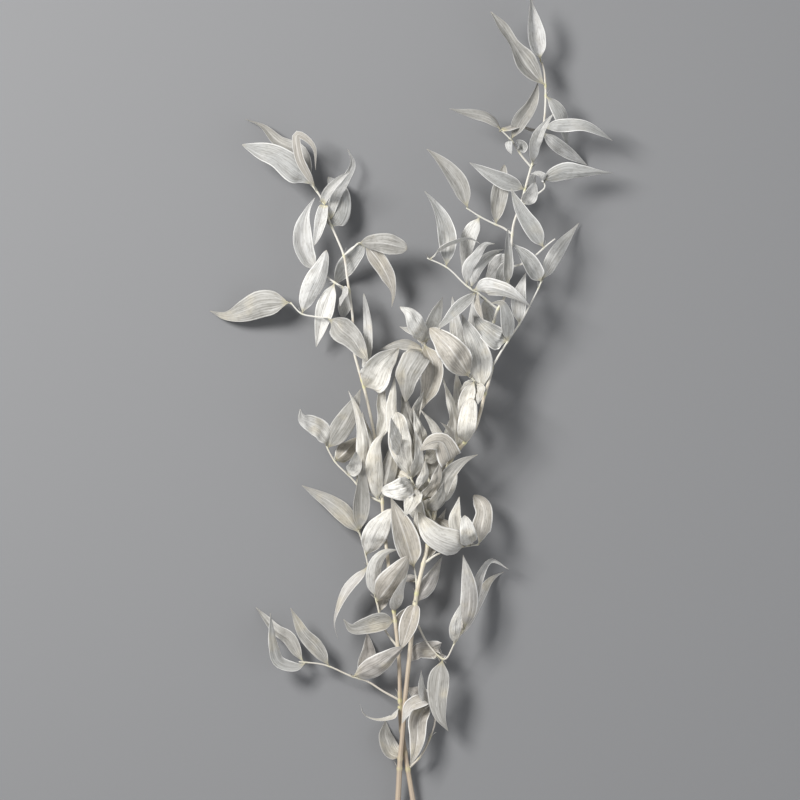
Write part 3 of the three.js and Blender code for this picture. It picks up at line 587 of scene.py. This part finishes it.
def leaf_skin(leaf, grid, mood):
    """The grid of a leaf, as rings with their U and V. Row: a point of the smooth
    midrib. Column: a share from -1 to 1 of the half width, first over the top
    and then back under it. The point is midrib + share x half width x crosswise
    + height x upwards, both turned about the midrib by the twist. The height
    adds up the cup (share to a power from 1, a sharp fold, to 2, a round bowl),
    the waving edge (a sine along the leaf, share squared), the rib (a narrow
    bell under the middle), the crumple (a product of two slanting sines), the
    curl (square of the way into the last quarter or so of the length) and the
    crease (one side bent down in proportion to the share beyond it). Half the
    thickness, less towards the rim and the tip, is added upwards on top and
    taken away below."""
    s = np.linspace(0, 1, grid["rows"])
    v = 0.5 * s + 0.25 * (1 - np.cos(np.pi * s))
    midrib = smooth(leaf["at"], leaf["middles"], v)
    along = unit(np.gradient(midrib, axis=0))
    lean = np.column_stack([np.interp(v, leaf["arrows_at"], leaf["arrows"][:, k]) for k in range(3)])
    crosswise, upwards = square_to(along, lean)
    turn = (mood["twist"] * np.maximum(v - TWIST_FROM, 0))[:, None]
    crosswise, upwards = (
        np.cos(turn) * crosswise + np.sin(turn) * upwards,
        np.cos(turn) * upwards - np.sin(turn) * crosswise,
    )
    outline_at, outline = leaf["outline"]
    wide = leaf["half"] * smooth(outline_at, outline[:, None], v)[:, 0]
    wide *= 1 + UNEVEN * np.sin(2 * np.pi * (UNEVEN_WAVES * v + mood["phase"]))
    wide = np.maximum(wide, STALK_HALF * (1 - v / STALK_SHARE))
    wide = np.maximum(wide, LEAST_HALF)[:, None]
    share = np.concatenate([-grid["across"][::-1], [0.0], grid["across"]])
    over = np.concatenate([share, share[-2:0:-1]])
    side = np.concatenate([np.ones(len(share)), -np.ones(len(share) - 2)])
    side[[0, len(share) - 1]] = 0
    length = run_along(midrib)[-1]
    v_ = v[:, None]
    tip = np.clip((v_ - CURL_FROM) / CURL_OVER, 0, 1)
    wave = mood["wave"] * np.sin(2 * np.pi * (mood["waves"] * v_ + mood["phase"] + 0.2 * np.sign(over)))
    cup = mood["cup"] * (np.abs(over) ** mood["fold"] - CUP_LEVEL)
    height = wide * (cup + wave * (over ** 2 - WAVE_LEVEL))
    height = height - RIB_HEIGHT * np.exp(-(over / RIB_HALF) ** 2) * (1 - v_)
    crumple = 1.0
    for up, sideways, shift in CRUMPLE_WAVES:
        crumple = crumple * np.sin(2 * np.pi * (up * v_ + sideways * over + shift * mood["phase"]))
    height = height + mood["crumple"] * wide * crumple
    height = height + mood["curl"] * length * tip ** 2
    height = height - mood["crease"] * wide * np.maximum(mood["creased"] * over - CREASE_AT, 0)
    surface = (
        midrib[:, None] + (wide * over)[..., None] * crosswise[:, None]
        + height[..., None] * upwards[:, None]
    )
    surface[..., 2] = above_table(surface[..., 2])
    thick = BLADE_HALF_THICK * (1 - RIM_THINNING * over ** 2)
    thick = thick + STALK_HALF_THICK * np.exp(-(v_ / STALK_REACH) ** 2)
    thick = side * thick * np.minimum(1, TIP_THINNING * (1 - v_) + TIP_THICKNESS)
    return surface + thick[..., None] * upwards[:, None], np.append(over, over[0]) / 2 + 0.5, v


# %% The chances of a leaf


def random_mood():
    """How one leaf differs from the next."""
    return {
        "cup": chance.choice([-1, 1]) * chance.uniform(0.14, 0.5),
        "fold": chance.uniform(1.05, 2.0),
        "wave": chance.uniform(0.03, 0.14),
        "waves": chance.uniform(1.2, 2.6),
        "phase": chance.uniform(0, 1),
        "curl": chance.normal(0, 0.025),
        "crumple": chance.uniform(0, 0.12),
        "twist": chance.uniform(-0.9, 0.9),
        "crease": max(0.0, chance.uniform(-0.5, 0.75)),
        "creased": chance.choice([-1, 1]),
        "tone": chance.uniform(0, 1),
    }


CROWDED_AT = (427, 440)  # square in the middle of the densest leaves
CROWD_REACH = 0.06
PRESSED = {"crumple": 1.6, "wave": 1.0}  # how much stronger in the densest part


def mood_of(leaf):
    """The chances of a full-sized leaf, with more crumples and waves where the
    leaves press on each other: by a bell of its distance from the densest part."""
    mood = random_mood()
    away = np.linalg.norm(leaf["middles"][2, :2] - unplaced(CROWDED_AT) - moved)
    for key, more in PRESSED.items():
        mood[key] *= 1 + more * np.exp(-(away / CROWD_REACH) ** 2)
    return mood


def full_leaf(leaf):
    """Rings, U and V of a full-sized leaf. Its crosswise arrows are turned round
    where the first one points to the left of the way that the leaf grows."""
    arrows = unit(leaf["arrows"])
    if arrows[0] @ np.cross(leaf["middles"][2] - leaf["middles"][1], (0, 0, 1)) < 0:
        arrows = -arrows
    return leaf_skin(leaf | {"arrows_at": leaf["at"][1:-1], "arrows": arrows}, FINE, leaf["mood"])


print("rows and corners of a leaf:", FINE["rows"], "and", 4 * len(FINE["across"]))

# %% [markdown]
# ## Leaves that stand out
# Chance alone spreads the colours evenly, but on a real spray a few leaves
# catch the eye, being whiter, greyer or more beige than their neighbours. Other
# leaves carry painted light or shade: a snow-white tone lifts leaves that lie in
# shade or lean away from the lamp, and a dull tone darkens leaves that face it.
# Such leaves get one of five tones here, and are named by a square near their
# middle, because most leaves share a node with their twig. A tone outside 0 to
# 1 is one that chance never gives. Each next leaf of a list has a slightly
# higher tone, because the tone also picks the place in the pattern, and no two
# leaves should be twins. Where two squares fall on one leaf, the later holds.

# %% Give some leaves a colour of their own, or painted light or shade
# the snow tone is painted light and the dull tone is painted shade
PAINTED_LIGHT_TONE, WHITE_TONE, GREY_TONE, BEIGE_TONE, PAINTED_SHADE_TONE = -0.35, 0.1, 0.66, 0.93, 1.25
NEXT_TONE = 0.004
TONED = {  # squares in the middle of leaves that stand out from their neighbours
    # painted light: leaves that lie in shade or lean away from the lamp, whitened
    PAINTED_LIGHT_TONE: [
        (556, 253), (396, 597), (417, 459), (448, 243), (487, 312), (535, 140), (417, 327), (354, 466),
        (423, 692), (374, 571), (541, 176), (455, 626), (396, 441), (324, 310), (403, 488), (468, 536),
        (468, 241), (423, 478), (384, 718)],
    WHITE_TONE: [
        (536, 30), (302, 235), (321, 285), (318, 226), (336, 187), (365, 325), (382, 358), (561, 148),
        (372, 470), (477, 331), (372, 535), (345, 595), (505, 290), (429, 582), (345, 303), (479, 266),
        (453, 416)],
    GREY_TONE: [
        (365, 510), (280, 132), (445, 225), (390, 245), (276, 654), (375, 662), (365, 650), (470, 600),
        (500, 245), (345, 265), (561, 118), (521, 146), (574, 125), (573, 171), (478, 354),
        (491, 334), (500, 179), (457, 527), (530, 264)],
    BEIGE_TONE: [
        (385, 270), (455, 355), (440, 350), (405, 385), (430, 385), (395, 575), (420, 730), (410, 612),
        (433, 485)],
    # painted shade: leaves that face the lamp, dulled
    PAINTED_SHADE_TONE: [
        (282, 635), (337, 508), (346, 333), (388, 744), (445, 482), (252, 307), (411, 365), (436, 499),
        (389, 468), (519, 52), (438, 691), (525, 114), (309, 640), (415, 412), (343, 423), (403, 344),
        (289, 147), (498, 197), (481, 115), (371, 624), (378, 242), (454, 178), (361, 499), (409, 422)],
}
every_leaf = [leaf for found in leaves.values() for leaf in found]
centres = np.array([leaf["middles"][2:4, :2].mean(axis=0) for leaf in every_leaf])
for tone, squares in TONED.items():
    for k, square in enumerate(squares):
        every_leaf[nearest(centres, unplaced(square) + moved)]["tone"] = tone + NEXT_TONE * k
print("leaves with a colour of their own:", sum("tone" in leaf for leaf in every_leaf))

# %% [markdown]
# ## Scales and swollen joints
# Wherever a leaf or twig leaves a stem, the stem is a little swollen and a dry
# pointed scale stays in the angle. Both are small, but without them the stems
# look like wire. The swelling is a bell-shaped addition to the rod's radius,
# and the scale is the same leaf surface with a coarser grid.

# %% Rods with joints
LEAF, STEM, TWIG = 0, 1, 2  # places of the finishes in a piece's list of materials
SCALE_LENGTH = 0.0042
SCALE_HALF = 0.0009
SCALE_LEAN, SCALE_BEND = 0.25, 0.35
SCALE_ROOT = 0.75  # share of the rod's radius
SCALE_TONE = 0.8
SCALE_OUTLINE = (np.array([0, 0.2, 0.45, 0.75, 1.0]), np.array([0.75, 1.0, 0.9, 0.45, 0.06]))
JOINT_REACH = 0.0016
JOINT_SWELL = 0.22
UNEVEN_ROD = 0.03
UNEVEN_LENGTHS = (0.0041, 0.0067)
PATTERN_LENGTH = 0.02  # of rod for each unit of V


def add_scale(piece, base, along, out, radius):
    """A small scale that starts on the rod and leans away from it: its midrib is
    a parabola, length x s along the rod, and outwards length x (lean x s + bend
    x s squared)."""
    s = np.linspace(0, 1, 4)[:, None]
    length = SCALE_LENGTH * chance.uniform(0.7, 1.2)
    outwards = (SCALE_LEAN * s + SCALE_BEND * s ** 2) * out
    middles = base + out * radius * SCALE_ROOT + length * (s * along + outwards)
    scale = {
        "at": s[:, 0], "middles": middles, "arrows_at": np.array([0.5]),
        "arrows": np.cross(along, out)[None], "half": SCALE_HALF, "outline": SCALE_OUTLINE,
    }
    mood = {
        "cup": -0.5, "fold": 2.0, "wave": 0.0, "waves": 1.0, "phase": 0.0, "curl": 0.0,
        "crumple": 0.0, "twist": 0.0, "crease": 0.0, "creased": 1,
    }
    rings, u, v = leaf_skin(scale, SMALL, mood)
    piece.add_skin(rings, u, v, np.full(len(v), SCALE_TONE), LEAF)


def swelling(run, steps):
    """Sum of a bell for each joint, never over 1."""
    bells = np.exp(-((run[:, None] - run[steps][None]) / JOINT_REACH) ** 2)
    return np.minimum(bells.sum(axis=1), 1.0)


def rod_rings(path, radii, corners):
    """Rings square to the path: middle + radius x (cosine x across + sine x up).
    Where the path turns back on itself, as in a cut face, a row keeps facing the
    way that the next one faces, so that no ring is mirrored."""
    along = unit(np.gradient(path, axis=0))
    agree = np.sign((along[1:] * along[:-1]).sum(axis=1))
    along[:-1] *= np.cumprod(agree[::-1])[::-1, None]
    across, up = square_to(along, np.cross(along, (0.0, 0.0, 1.0)))
    angle = np.linspace(0, 2 * np.pi, corners, endpoint=False)
    round_ = np.cos(angle)[:, None] * across[:, None] + np.sin(angle)[:, None] * up[:, None]
    return path[:, None] + radii[:, None, None] * round_


def add_rod(piece, path, radii, steps, corners, finish):
    """A stem or twig with its joints: the radius grows with the swelling and
    wavers by a product of two sines of the way. Its tone is the swelling."""
    run = run_along(path)
    swell = swelling(run, steps)
    one, other = UNEVEN_LENGTHS
    radii = radii * (1 + JOINT_SWELL * swell + UNEVEN_ROD * np.sin(run / one) * np.sin(run / other))
    u = np.linspace(0, 1, corners + 1)
    piece.add_skin(rod_rings(path, radii, corners), u, run / PATTERN_LENGTH, swell, finish)


CUT_FACE = [(0.00055, 0.25), (0.0004, 0.5), (0.0, 0.62), (0.0, 0.93), (0.0003, 1.0)]


def with_cut_face(path, radii):
    """The path with rows in front that close the cut end: a shallow pit of pith,
    the flat woody face and its slightly broken edge. Each row is a way up the
    stem and a share of the radius."""
    way, share = np.array(CUT_FACE).T
    rows = path[0] + way[:, None] * unit(path[1] - path[0])
    return np.vstack([rows, path[1:]]), np.concatenate([share * radii[0], radii[1:]])


# %% [markdown]
# ## Colours and surfaces
# Bleached leaves are white, grey or beige. Some are painted snow white where
# they lie in shade or lean away from the lamp, which is painted light, and some
# are painted dull where they face the lamp, which is painted shade. Where they
# stand densest they are painted ivory, painted light that lifts them out of the
# shade of the leaves above. They have fine fibres that run from foot to tip, a
# thin white rim, partly the edge's own paleness and partly a painted highlight,
# and a yellower stalk. Light shines through them a little, so a translucent
# shader is mixed into the glossy one. Painted pictures could be wrapped round
# them, but a pattern worked out from U and V follows every leaf and never
# repeats. The stems are pale wood with fine ridges, rosy tan at the bare ends
# and olive at the joints.

# %% Tools for materials
TONE_APART = 370.0  # how far apart in the pattern two tones that differ by 1 lie
SPHERE_HEIGHT = 0.02  # above the table, of the points that tints spread from


class Recipe:
    """A material and short ways to add and join its nodes."""

    def __init__(self, name):
        self.material = bpy.data.materials.new(name)
        self.material.use_nodes = True
        self.tree = self.material.node_tree
        self.shader = self.tree.nodes["Principled BSDF"]

    def add(self, kind, inputs=(), **settings):
        """A new node with its settings and what goes into its sockets."""
        node = self.tree.nodes.new(kind)
        for key, value in settings.items():
            setattr(node, key, value)
        for key, value in dict(inputs).items():
            self.put(node.inputs[key], value)
        return node

    def put(self, socket, value):
        """Joins a socket to another node, or sets its plain value."""
        if isinstance(value, bpy.types.NodeSocket):
            self.tree.links.new(value, socket)
        else:
            socket.default_value = value

    def sum(self, operation, a, b=0.0, c=0.0):
        """A sum of up to three numbers, of the kind that operation names."""
        return self.add("ShaderNodeMath", {0: a, 1: b, 2: c}, operation=operation).outputs[0]

    def ramp(self, value, low, high, a=0.0, b=1.0):
        """Smooth step of value from low to high, as a number from a to b."""
        node = self.add(
            "ShaderNodeMapRange",
            {"Value": value, "From Min": low, "From Max": high, "To Min": a, "To Max": b},
            interpolation_type="SMOOTHSTEP")
        return node.outputs["Result"]

    def blend(self, factor, a, b, how="MIX"):
        """Colour a with a share, the factor, of colour b."""
        node = self.add("ShaderNodeMix", data_type="RGBA", blend_type=how)
        self.put(node.inputs["Factor"], factor)
        self.put(node.inputs["A"], a)
        self.put(node.inputs["B"], b)
        return node.outputs["Result"]

    def noise(self, where, scale, detail=3.0, rough=0.5):
        """Cloudy numbers about a half. Scale is clouds for each unit of where."""
        node = self.add("ShaderNodeTexNoise", {
            "Vector": where, "Scale": scale, "Detail": detail, "Roughness": rough})
        return node.outputs["Fac"]

    def across_and_along(self):
        """U and V of the surface."""
        place = self.add("ShaderNodeUVMap", uv_map="across_and_along")
        split = self.add("ShaderNodeSeparateXYZ", {0: place.outputs[0]})
        return split.outputs[0], split.outputs[1]

    def tone(self):
        """The number that add_skin gave to each row."""
        return self.add("ShaderNodeAttribute", attribute_name="tone").outputs["Fac"]

    def place(self, u, v, tone):
        """A place in the pattern: u across, v along, and a third number far apart
        from leaf to leaf."""
        return self.add("ShaderNodeCombineXYZ", {
            0: u, 1: v, 2: self.sum("MULTIPLY", tone, TONE_APART)}).outputs[0]

    def far_from(self, where, square):
        """Distance from the point at the sphere height above a square."""
        point = (*(unplaced(square) + moved), SPHERE_HEIGHT)
        node = self.add("ShaderNodeVectorMath", {0: where, 1: point}, operation="DISTANCE")
        return node.outputs["Value"]

    def let_through(self, other, share):
        """Mixes a share of another shader into the surface."""
        mix = self.add("ShaderNodeMixShader", {
            0: share, 1: self.shader.outputs[0], 2: other})
        self.put(self.tree.nodes["Material Output"].inputs["Surface"], mix.outputs[0])

    def bump(self, height, strength, distance):
        """Makes the light fall as if the surface rose and sank with height."""
        node = self.add("ShaderNodeBump", {
            "Height": height, "Strength": strength, "Distance": distance})
        self.put(self.shader.inputs["Normal"], node.outputs["Normal"])


# %% The leaf's finish
WHITE = (0.765, 0.765, 0.755, 1)
GREY = (0.50, 0.505, 0.495, 1)
BEIGE = (0.59, 0.55, 0.49, 1)
# painted light: the white given to leaves that lie in shade or lean away from the lamp
PAINTED_LIGHT_SNOW = (0.97, 0.965, 0.94, 1)
# painted shade: the dull colour given to leaves that face the lamp
PAINTED_SHADE_DULL = (0.46, 0.455, 0.435, 1)
ROSE = (0.58, 0.53, 0.49, 1)
# painted light: the bright colour of the densest leaves
PAINTED_LIGHT_IVORY = (0.98, 0.955, 0.89, 1)
WARM = (0.72, 0.655, 0.51, 1)
SHADE = (0.58, 0.565, 0.54, 1)
# pale colour of the fibres and the midrib, and of the rim, where it is partly a painted highlight
PALE_AND_HIGHLIGHT = (0.97, 0.965, 0.945, 1)
STRAW = (0.66, 0.60, 0.37, 1)
GLOW = (0.80, 0.74, 0.60, 1)
LOW_AT = (405, 640)  # square in the middle of the lowest leaves
VEINS = 11  # across the whole width
TRANSLUCENT = 0.28


def leaf_finish():
    """White, mixed towards grey by the leaf's tone and towards rose low down,
    then towards ivory where the leaves stand densest, which is painted light that
    lifts the dense middle out of the shade of the leaves above. Then beige by the
    tone again, or snow white, which is painted light on leaves that lie in shade
    or lean away from the lamp, or dull, which is painted shade on leaves that face
    it. Then warm clouds, which fade out towards the tops, darker thin fibres,
    veins and short dashes, a pale midrib and a pale rim, the rim partly the
    edge's own paleness and partly a painted highlight, both drawn more faintly on
    the dull leaves, and a straw-coloured foot. A share of the light goes through."""
    r = Recipe("bleached_leaf")
    u, v = r.across_and_along()
    tone = r.tone()
    from_middle = r.sum("ABSOLUTE", r.sum("MULTIPLY_ADD", u, 2.0, -1.0))
    where = r.add("ShaderNodeTexCoord").outputs["Object"]
    clouds = r.noise(where, 60.0)
    fibres = r.noise(r.place(r.sum("MULTIPLY", u, 20.0), r.sum("MULTIPLY", v, 2.0), tone), 1.0, 4.0, 0.6)
    dashes = r.noise(r.place(r.sum("MULTIPLY", u, 13.0), r.sum("MULTIPLY", v, 15.0), tone), 1.0, 2.0)
    crowd = r.far_from(where, CROWDED_AT)
    veins = r.sum("SINE", r.sum("MULTIPLY", u, 2 * np.pi * VEINS))
    colour = r.blend(r.ramp(tone, 0.40, 0.62, 0.0, 0.8), WHITE, GREY)
    colour = r.blend(r.ramp(r.far_from(where, LOW_AT), 0.10, 0.03, 0.0, 0.6), colour, ROSE)
    # painted light: the densest leaves are lifted towards ivory, out of the shade of the leaves above them
    colour = r.blend(r.ramp(crowd, 0.105, 0.055, 0.0, 0.75), colour, PAINTED_LIGHT_IVORY)
    colour = r.blend(r.ramp(tone, 0.80, 0.92, 0.0, 0.75), colour, BEIGE)
    # painted light: snow white on leaves that lie in shade or lean away from the lamp
    colour = r.blend(r.ramp(tone, -0.05, -0.2, 0.0, 0.8), colour, PAINTED_LIGHT_SNOW)
    # painted shade: dull colour on leaves that face the lamp
    colour = r.blend(r.ramp(tone, 1.1, 1.2, 0.0, 0.85), colour, PAINTED_SHADE_DULL)
    warmth = r.ramp(r.add("ShaderNodeSeparateXYZ", {0: where}).outputs[1], 0.03, 0.20, 1.0, 0.25)
    warm_clouds = r.ramp(clouds, 0.50, 0.70, 0.0, 0.45)
    colour = r.blend(r.sum("MULTIPLY", warm_clouds, warmth), colour, WARM)
    colour = r.blend(r.ramp(fibres, 0.36, 0.56, 0.6, 0.0), colour, SHADE, "MULTIPLY")
    colour = r.blend(r.ramp(veins, -1.0, 0.6, 0.18, 0.0), colour, SHADE, "MULTIPLY")
    colour = r.blend(r.ramp(fibres, 0.58, 0.72, 0.0, 0.55), colour, PALE_AND_HIGHLIGHT)
    colour = r.blend(r.ramp(dashes, 0.50, 0.66, 0.0, 0.45), colour, SHADE, "MULTIPLY")
    # the pale midrib and the rim, which is partly a painted highlight, are drawn more faintly on the leaves
    # with painted shade
    drawn = r.ramp(tone, 1.0, 1.2, 1.0, 0.45)
    midrib = r.sum("MULTIPLY", r.ramp(from_middle, 0.07, 0.01), r.ramp(tone, 0.8, 0.95, 0.15, 0.55))
    colour = r.blend(r.sum("MULTIPLY", midrib, drawn), colour, PALE_AND_HIGHLIGHT)
    # the pale rim: partly the edge's own paleness, partly a painted highlight along the edge
    rim = r.ramp(from_middle, 0.84, 0.95, 0.0, 0.95)
    colour = r.blend(r.sum("MULTIPLY", rim, drawn), colour, PALE_AND_HIGHLIGHT)
    colour = r.blend(r.ramp(v, 0.13, 0.0, 0.0, 0.7), colour, STRAW)
    colour = r.blend(r.ramp(v, 0.94, 1.0, 0.0, 0.3), colour, WARM)
    r.put(r.shader.inputs["Base Color"], colour)
    r.put(r.shader.inputs["Roughness"], r.ramp(fibres, 0.3, 0.7, 0.6, 0.4))
    r.put(r.shader.inputs["Specular IOR Level"], 0.45)
    r.put(r.shader.inputs["Sheen Weight"], 0.15)
    r.put(r.shader.inputs["Sheen Roughness"], 0.4)
    height = r.sum("MULTIPLY_ADD", veins, 0.25, r.sum("MULTIPLY_ADD", dashes, -0.5, fibres))
    r.bump(height, 0.7, 0.0003)
    glow = r.add("ShaderNodeBsdfTranslucent", {
        "Color": r.blend(r.sum("MULTIPLY", warmth, 0.5), colour, GLOW)})
    r.let_through(glow.outputs[0], TRANSLUCENT)
    return r.material


# %% The stem's finish
CREAM = (0.70, 0.65, 0.545, 1)
PALE = (0.70, 0.69, 0.65, 1)
TAN = (0.48, 0.39, 0.275, 1)
ROSY = (0.38, 0.295, 0.225, 1)
OLIVE = (0.60, 0.58, 0.30, 1)
ROSY_AT = (404, 790)  # square in the middle of the bare lower ends
RIDGES = 7  # round a stem or twig


def cane_finish(name, patchy):
    """Rosy tan on the bare lower ends, then cream, then paler towards the tops,
    with tan ridges that run along the rod, tan clouds and an olive tint where
    the swelling is greatest. Patchy is how strong the clouds and tints are."""
    r = Recipe(name)
    u, _ = r.across_and_along()
    swell = r.tone()
    where = r.add("ShaderNodeTexCoord").outputs["Object"]
    ridges = r.sum("SINE", r.sum("MULTIPLY", u, 2 * np.pi * RIDGES))
    clouds = r.noise(where, 70.0)
    flecks = r.noise(where, 1400.0, 2.0)
    low = r.far_from(where, ROSY_AT)
    colour = r.blend(r.ramp(low, 0.20, 0.40, 1 - patchy, 1.0), CREAM, PALE)
    colour = r.blend(r.ramp(low, 0.15, 0.06, 0.0, 0.85 * patchy), colour, ROSY)
    colour = r.blend(r.ramp(clouds, 0.45, 0.7, 0.0, 0.55 * patchy), colour, TAN)
    colour = r.blend(r.ramp(ridges, -1.0, 0.2, 0.45 * patchy, 0.0), colour, TAN)
    colour = r.blend(r.ramp(flecks, 0.6, 0.75, 0.0, 0.4), colour, TAN)
    colour = r.blend(
        r.sum("MULTIPLY", swell, r.ramp(clouds, 0.4, 0.6, 0.2, 0.9 * patchy)), colour, OLIVE)
    r.put(r.shader.inputs["Base Color"], colour)
    r.put(r.shader.inputs["Roughness"], r.ramp(flecks, 0.3, 0.7, 0.45, 0.6))
    r.put(r.shader.inputs["Specular IOR Level"], 0.42)
    r.bump(r.sum("MULTIPLY_ADD", ridges, 0.6, r.sum("MULTIPLY", flecks, 0.5)), 0.6, 0.0002)
    return r.material


finishes = [leaf_finish(), cane_finish("bleached_stem", 1.0), cane_finish("bleached_twig", 0.35)]
print("finishes:", [finish.name for finish in finishes])

# %% [markdown]
# ## Growing the pieces
# Every CAD node gets one finished piece with the same name and place, so a
# change of one stays local. A stem piece holds its rod and scales, a twig piece
# its rod, scales and leaves, and a leaf of its own is a piece by itself. The
# rods and scales come first here, and each leaf is given its chances.

# %% Grow the rods and the scales
STEM_CORNERS = 16
TWIG_CORNERS = 10
BUD_RISE = 0.2  # of a bud's way, against 1 or so in plan
TWIG_START = 4  # steps along a twig that show which way it leaves its stem


def scales_for(piece, carrier, path, radii):
    """A scale under each leaf and twig that the carrier holds, and two for a bud."""
    held = [leaf for name, found in leaves.items() if carrier_of(name)[0] == carrier for leaf in found]
    ways = [(leaf["step"], leaf["middles"][1] - leaf["middles"][0]) for leaf in held]
    for name, (stem, _, _) in TWIGS.items():
        if stem == carrier:
            twig = twigs[name][0]
            ways.append((nearest(path, twig[0]), twig[TWIG_START] - twig[0]))
    for square, way in BUDS.get(carrier, []):
        ways += 2 * [(nearest(path, unplaced(square) + moved), np.array([*way, BUD_RISE]))]
    for k, way in ways:
        k = min(k, len(path) - 2)
        along = unit(path[k + 1] - path[k])
        out = unit(way - (way @ along) * along)
        add_scale(piece, path[k], along, out, radii[k])


pieces = {name: Piece() for name in (*stems, *leaves)}
for name, (path, radii) in stems.items():
    steps = np.array(joints_on[name])
    cut_path, cut_radii = with_cut_face(path, radii)
    add_rod(pieces[name], cut_path, cut_radii, steps + len(cut_path) - len(path), STEM_CORNERS, STEM)
    scales_for(pieces[name], name, path, radii)
for name, found in leaves.items():
    if name in twigs:
        path, radii = twigs[name]
        add_rod(pieces[name], path, radii, np.array(joints_on[name]), TWIG_CORNERS, TWIG)
        scales_for(pieces[name], name, path, radii)
    for leaf in found:
        leaf["mood"] = mood_of(leaf)
print("skins so far:", sum(len(piece.points) for piece in pieces.values()))

# %% [markdown]
# ## Leaves in each other's way
# Leaves that bend by chance can pass through a neighbour, which real ones never
# do. A cloth simulation could push them apart, but it would take them out of
# their places. Here every leaf is tried once, and a search tree of its faces is
# tested against those of all the others. Both leaves of a pair that crosses are
# kept nearly flat, and a few pairs still cross a little after that. The rows
# next to the foot are left out, because leaves of one twig do meet there.

# %% Keep crossing leaves flat
FOOT_ROWS = 7
STRAIGHT = ("cup", "twist", "crease", "curl")  # what a flat leaf has little of
FLAT_BEND = 0.15


def blade_tree(leaf):
    """Search tree of a leaf's faces past the rows next to its foot."""
    rings = outward(*full_leaf(leaf)[:2])[0]
    quads = faces_between(*rings.shape[:2])[2][FOOT_ROWS:]
    return BVHTree.FromPolygons(rings.reshape(-1, 3).tolist(), quads.reshape(-1, 4).tolist())


def crossing_pairs():
    """Pairs of leaves with faces that cut through each other."""
    trees = [blade_tree(leaf) for leaf in every_leaf]
    return [(i, j) for i, j in combinations(range(len(trees)), 2) if trees[i].overlap(trees[j])]


crossed = crossing_pairs()
flat = {k for pair in crossed for k in pair}
for k in flat:
    for key in STRAIGHT:
        every_leaf[k]["mood"][key] *= FLAT_BEND
print("pairs that crossed:", len(crossed), "leaves kept flat:", len(flat))
print("pairs that still cross:", len(crossing_pairs()))

# %% Add the leaves and finish the pieces


def finish_piece(piece, name):
    """Builds the object and tells the frame what it stands for."""
    made = piece.build("dry_" + name, finishes)
    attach(made, "root")
    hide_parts(name)
    return len(made.data.polygons)


for name, found in leaves.items():
    for leaf in found:
        rings, u, v = full_leaf(leaf)
        tone = leaf.get("tone", leaf["mood"]["tone"])
        pieces[name].add_skin(rings, u, v, np.full(len(v), tone), LEAF)
faces = sum(finish_piece(piece, name) for name, piece in pieces.items())
print("pieces:", len(pieces), "faces:", faces)

# %% [markdown]
# ## The table, the light and the camera
# The spray lies on a plain pale table. A large soft lamp up and to the left
# does most of the work, a weaker one fills the shadows, and the sky evens out
# the rest. The camera looks straight down from far away with a long lens, so
# that the spray is seen nearly without perspective.

# %% Table
HALF_TABLE = 15.0
DIM_WHITE = (0.198, 0.2, 0.206, 1)  # dim enough for the pale leaves to show against it
table = bpy.data.meshes.new("table")
table.from_pydata(
    [(-HALF_TABLE, -HALF_TABLE, 0), (HALF_TABLE, -HALF_TABLE, 0),
     (HALF_TABLE, HALF_TABLE, 0), (-HALF_TABLE, HALF_TABLE, 0)], [], [(0, 1, 2, 3)])
floor = bpy.data.objects.new("floor", table)
bpy.context.scene.collection.objects.link(floor)
paint = Recipe("pale_table")
paint.put(paint.shader.inputs["Base Color"], DIM_WHITE)
paint.put(paint.shader.inputs["Roughness"], 0.8)
table.materials.append(paint.material)
print("table", 2 * HALF_TABLE, "m wide")

# %% Light
COOL = (0.95, 0.97, 1.0)
NEARLY_WHITE = (1.0, 0.99, 0.97)
SKY_STRENGTH = 0.38


def soft_lamp(name, place, size, watts, colour):
    """A square lamp that faces the middle of the spray."""
    light = bpy.data.lights.new(name, "AREA")
    light.size = size
    light.energy = watts
    light.color = colour
    lamp = bpy.data.objects.new(name, light)
    bpy.context.scene.collection.objects.link(lamp)
    lamp.location = place
    lamp.rotation_euler = (-Vector(place)).to_track_quat("-Z", "Y").to_euler()


soft_lamp("main_lamp", (-1.1, 0.8, 1.6), 0.7, 60, NEARLY_WHITE)
soft_lamp("fill_lamp", (1.3, -0.6, 1.2), 1.6, 8, COOL)
world = bpy.data.worlds.new("soft_sky")
world.use_nodes = True
sky = world.node_tree.nodes["Background"]
sky.inputs["Color"].default_value = (*COOL, 1)
sky.inputs["Strength"].default_value = SKY_STRENGTH
bpy.context.scene.world = world
bpy.context.scene.view_settings.view_transform = "Standard"
print("two soft lamps and a sky of strength", SKY_STRENGTH)

# %% Camera
VIEW_SQUARES = 800  # the camera takes in this many squares each way
VIEW_MIDDLE = (400, 400)
CAMERA_HEIGHT = 6.0
SENSOR = 36.0
FAR_CLIP = 100
camera = bpy.data.cameras.new("camera")
camera.sensor_width = SENSOR
camera.lens = SENSOR * CAMERA_HEIGHT / (VIEW_SQUARES * SQUARE)
camera.clip_end = FAR_CLIP
eye = bpy.data.objects.new("camera", camera)
bpy.context.scene.collection.objects.link(eye)
eye.location = (*(unplaced(VIEW_MIDDLE) + moved), CAMERA_HEIGHT)
bpy.context.scene.camera = eye
print("lens %.0f mm, camera over %s" % (camera.lens, tuple(eye.location)))

# %% [markdown]
# ## The last step
# The scene is brought up to date. The finished plant must not outgrow the
# CAD solids.

# %% Bring the scene up to date
bpy.context.view_layer.update()
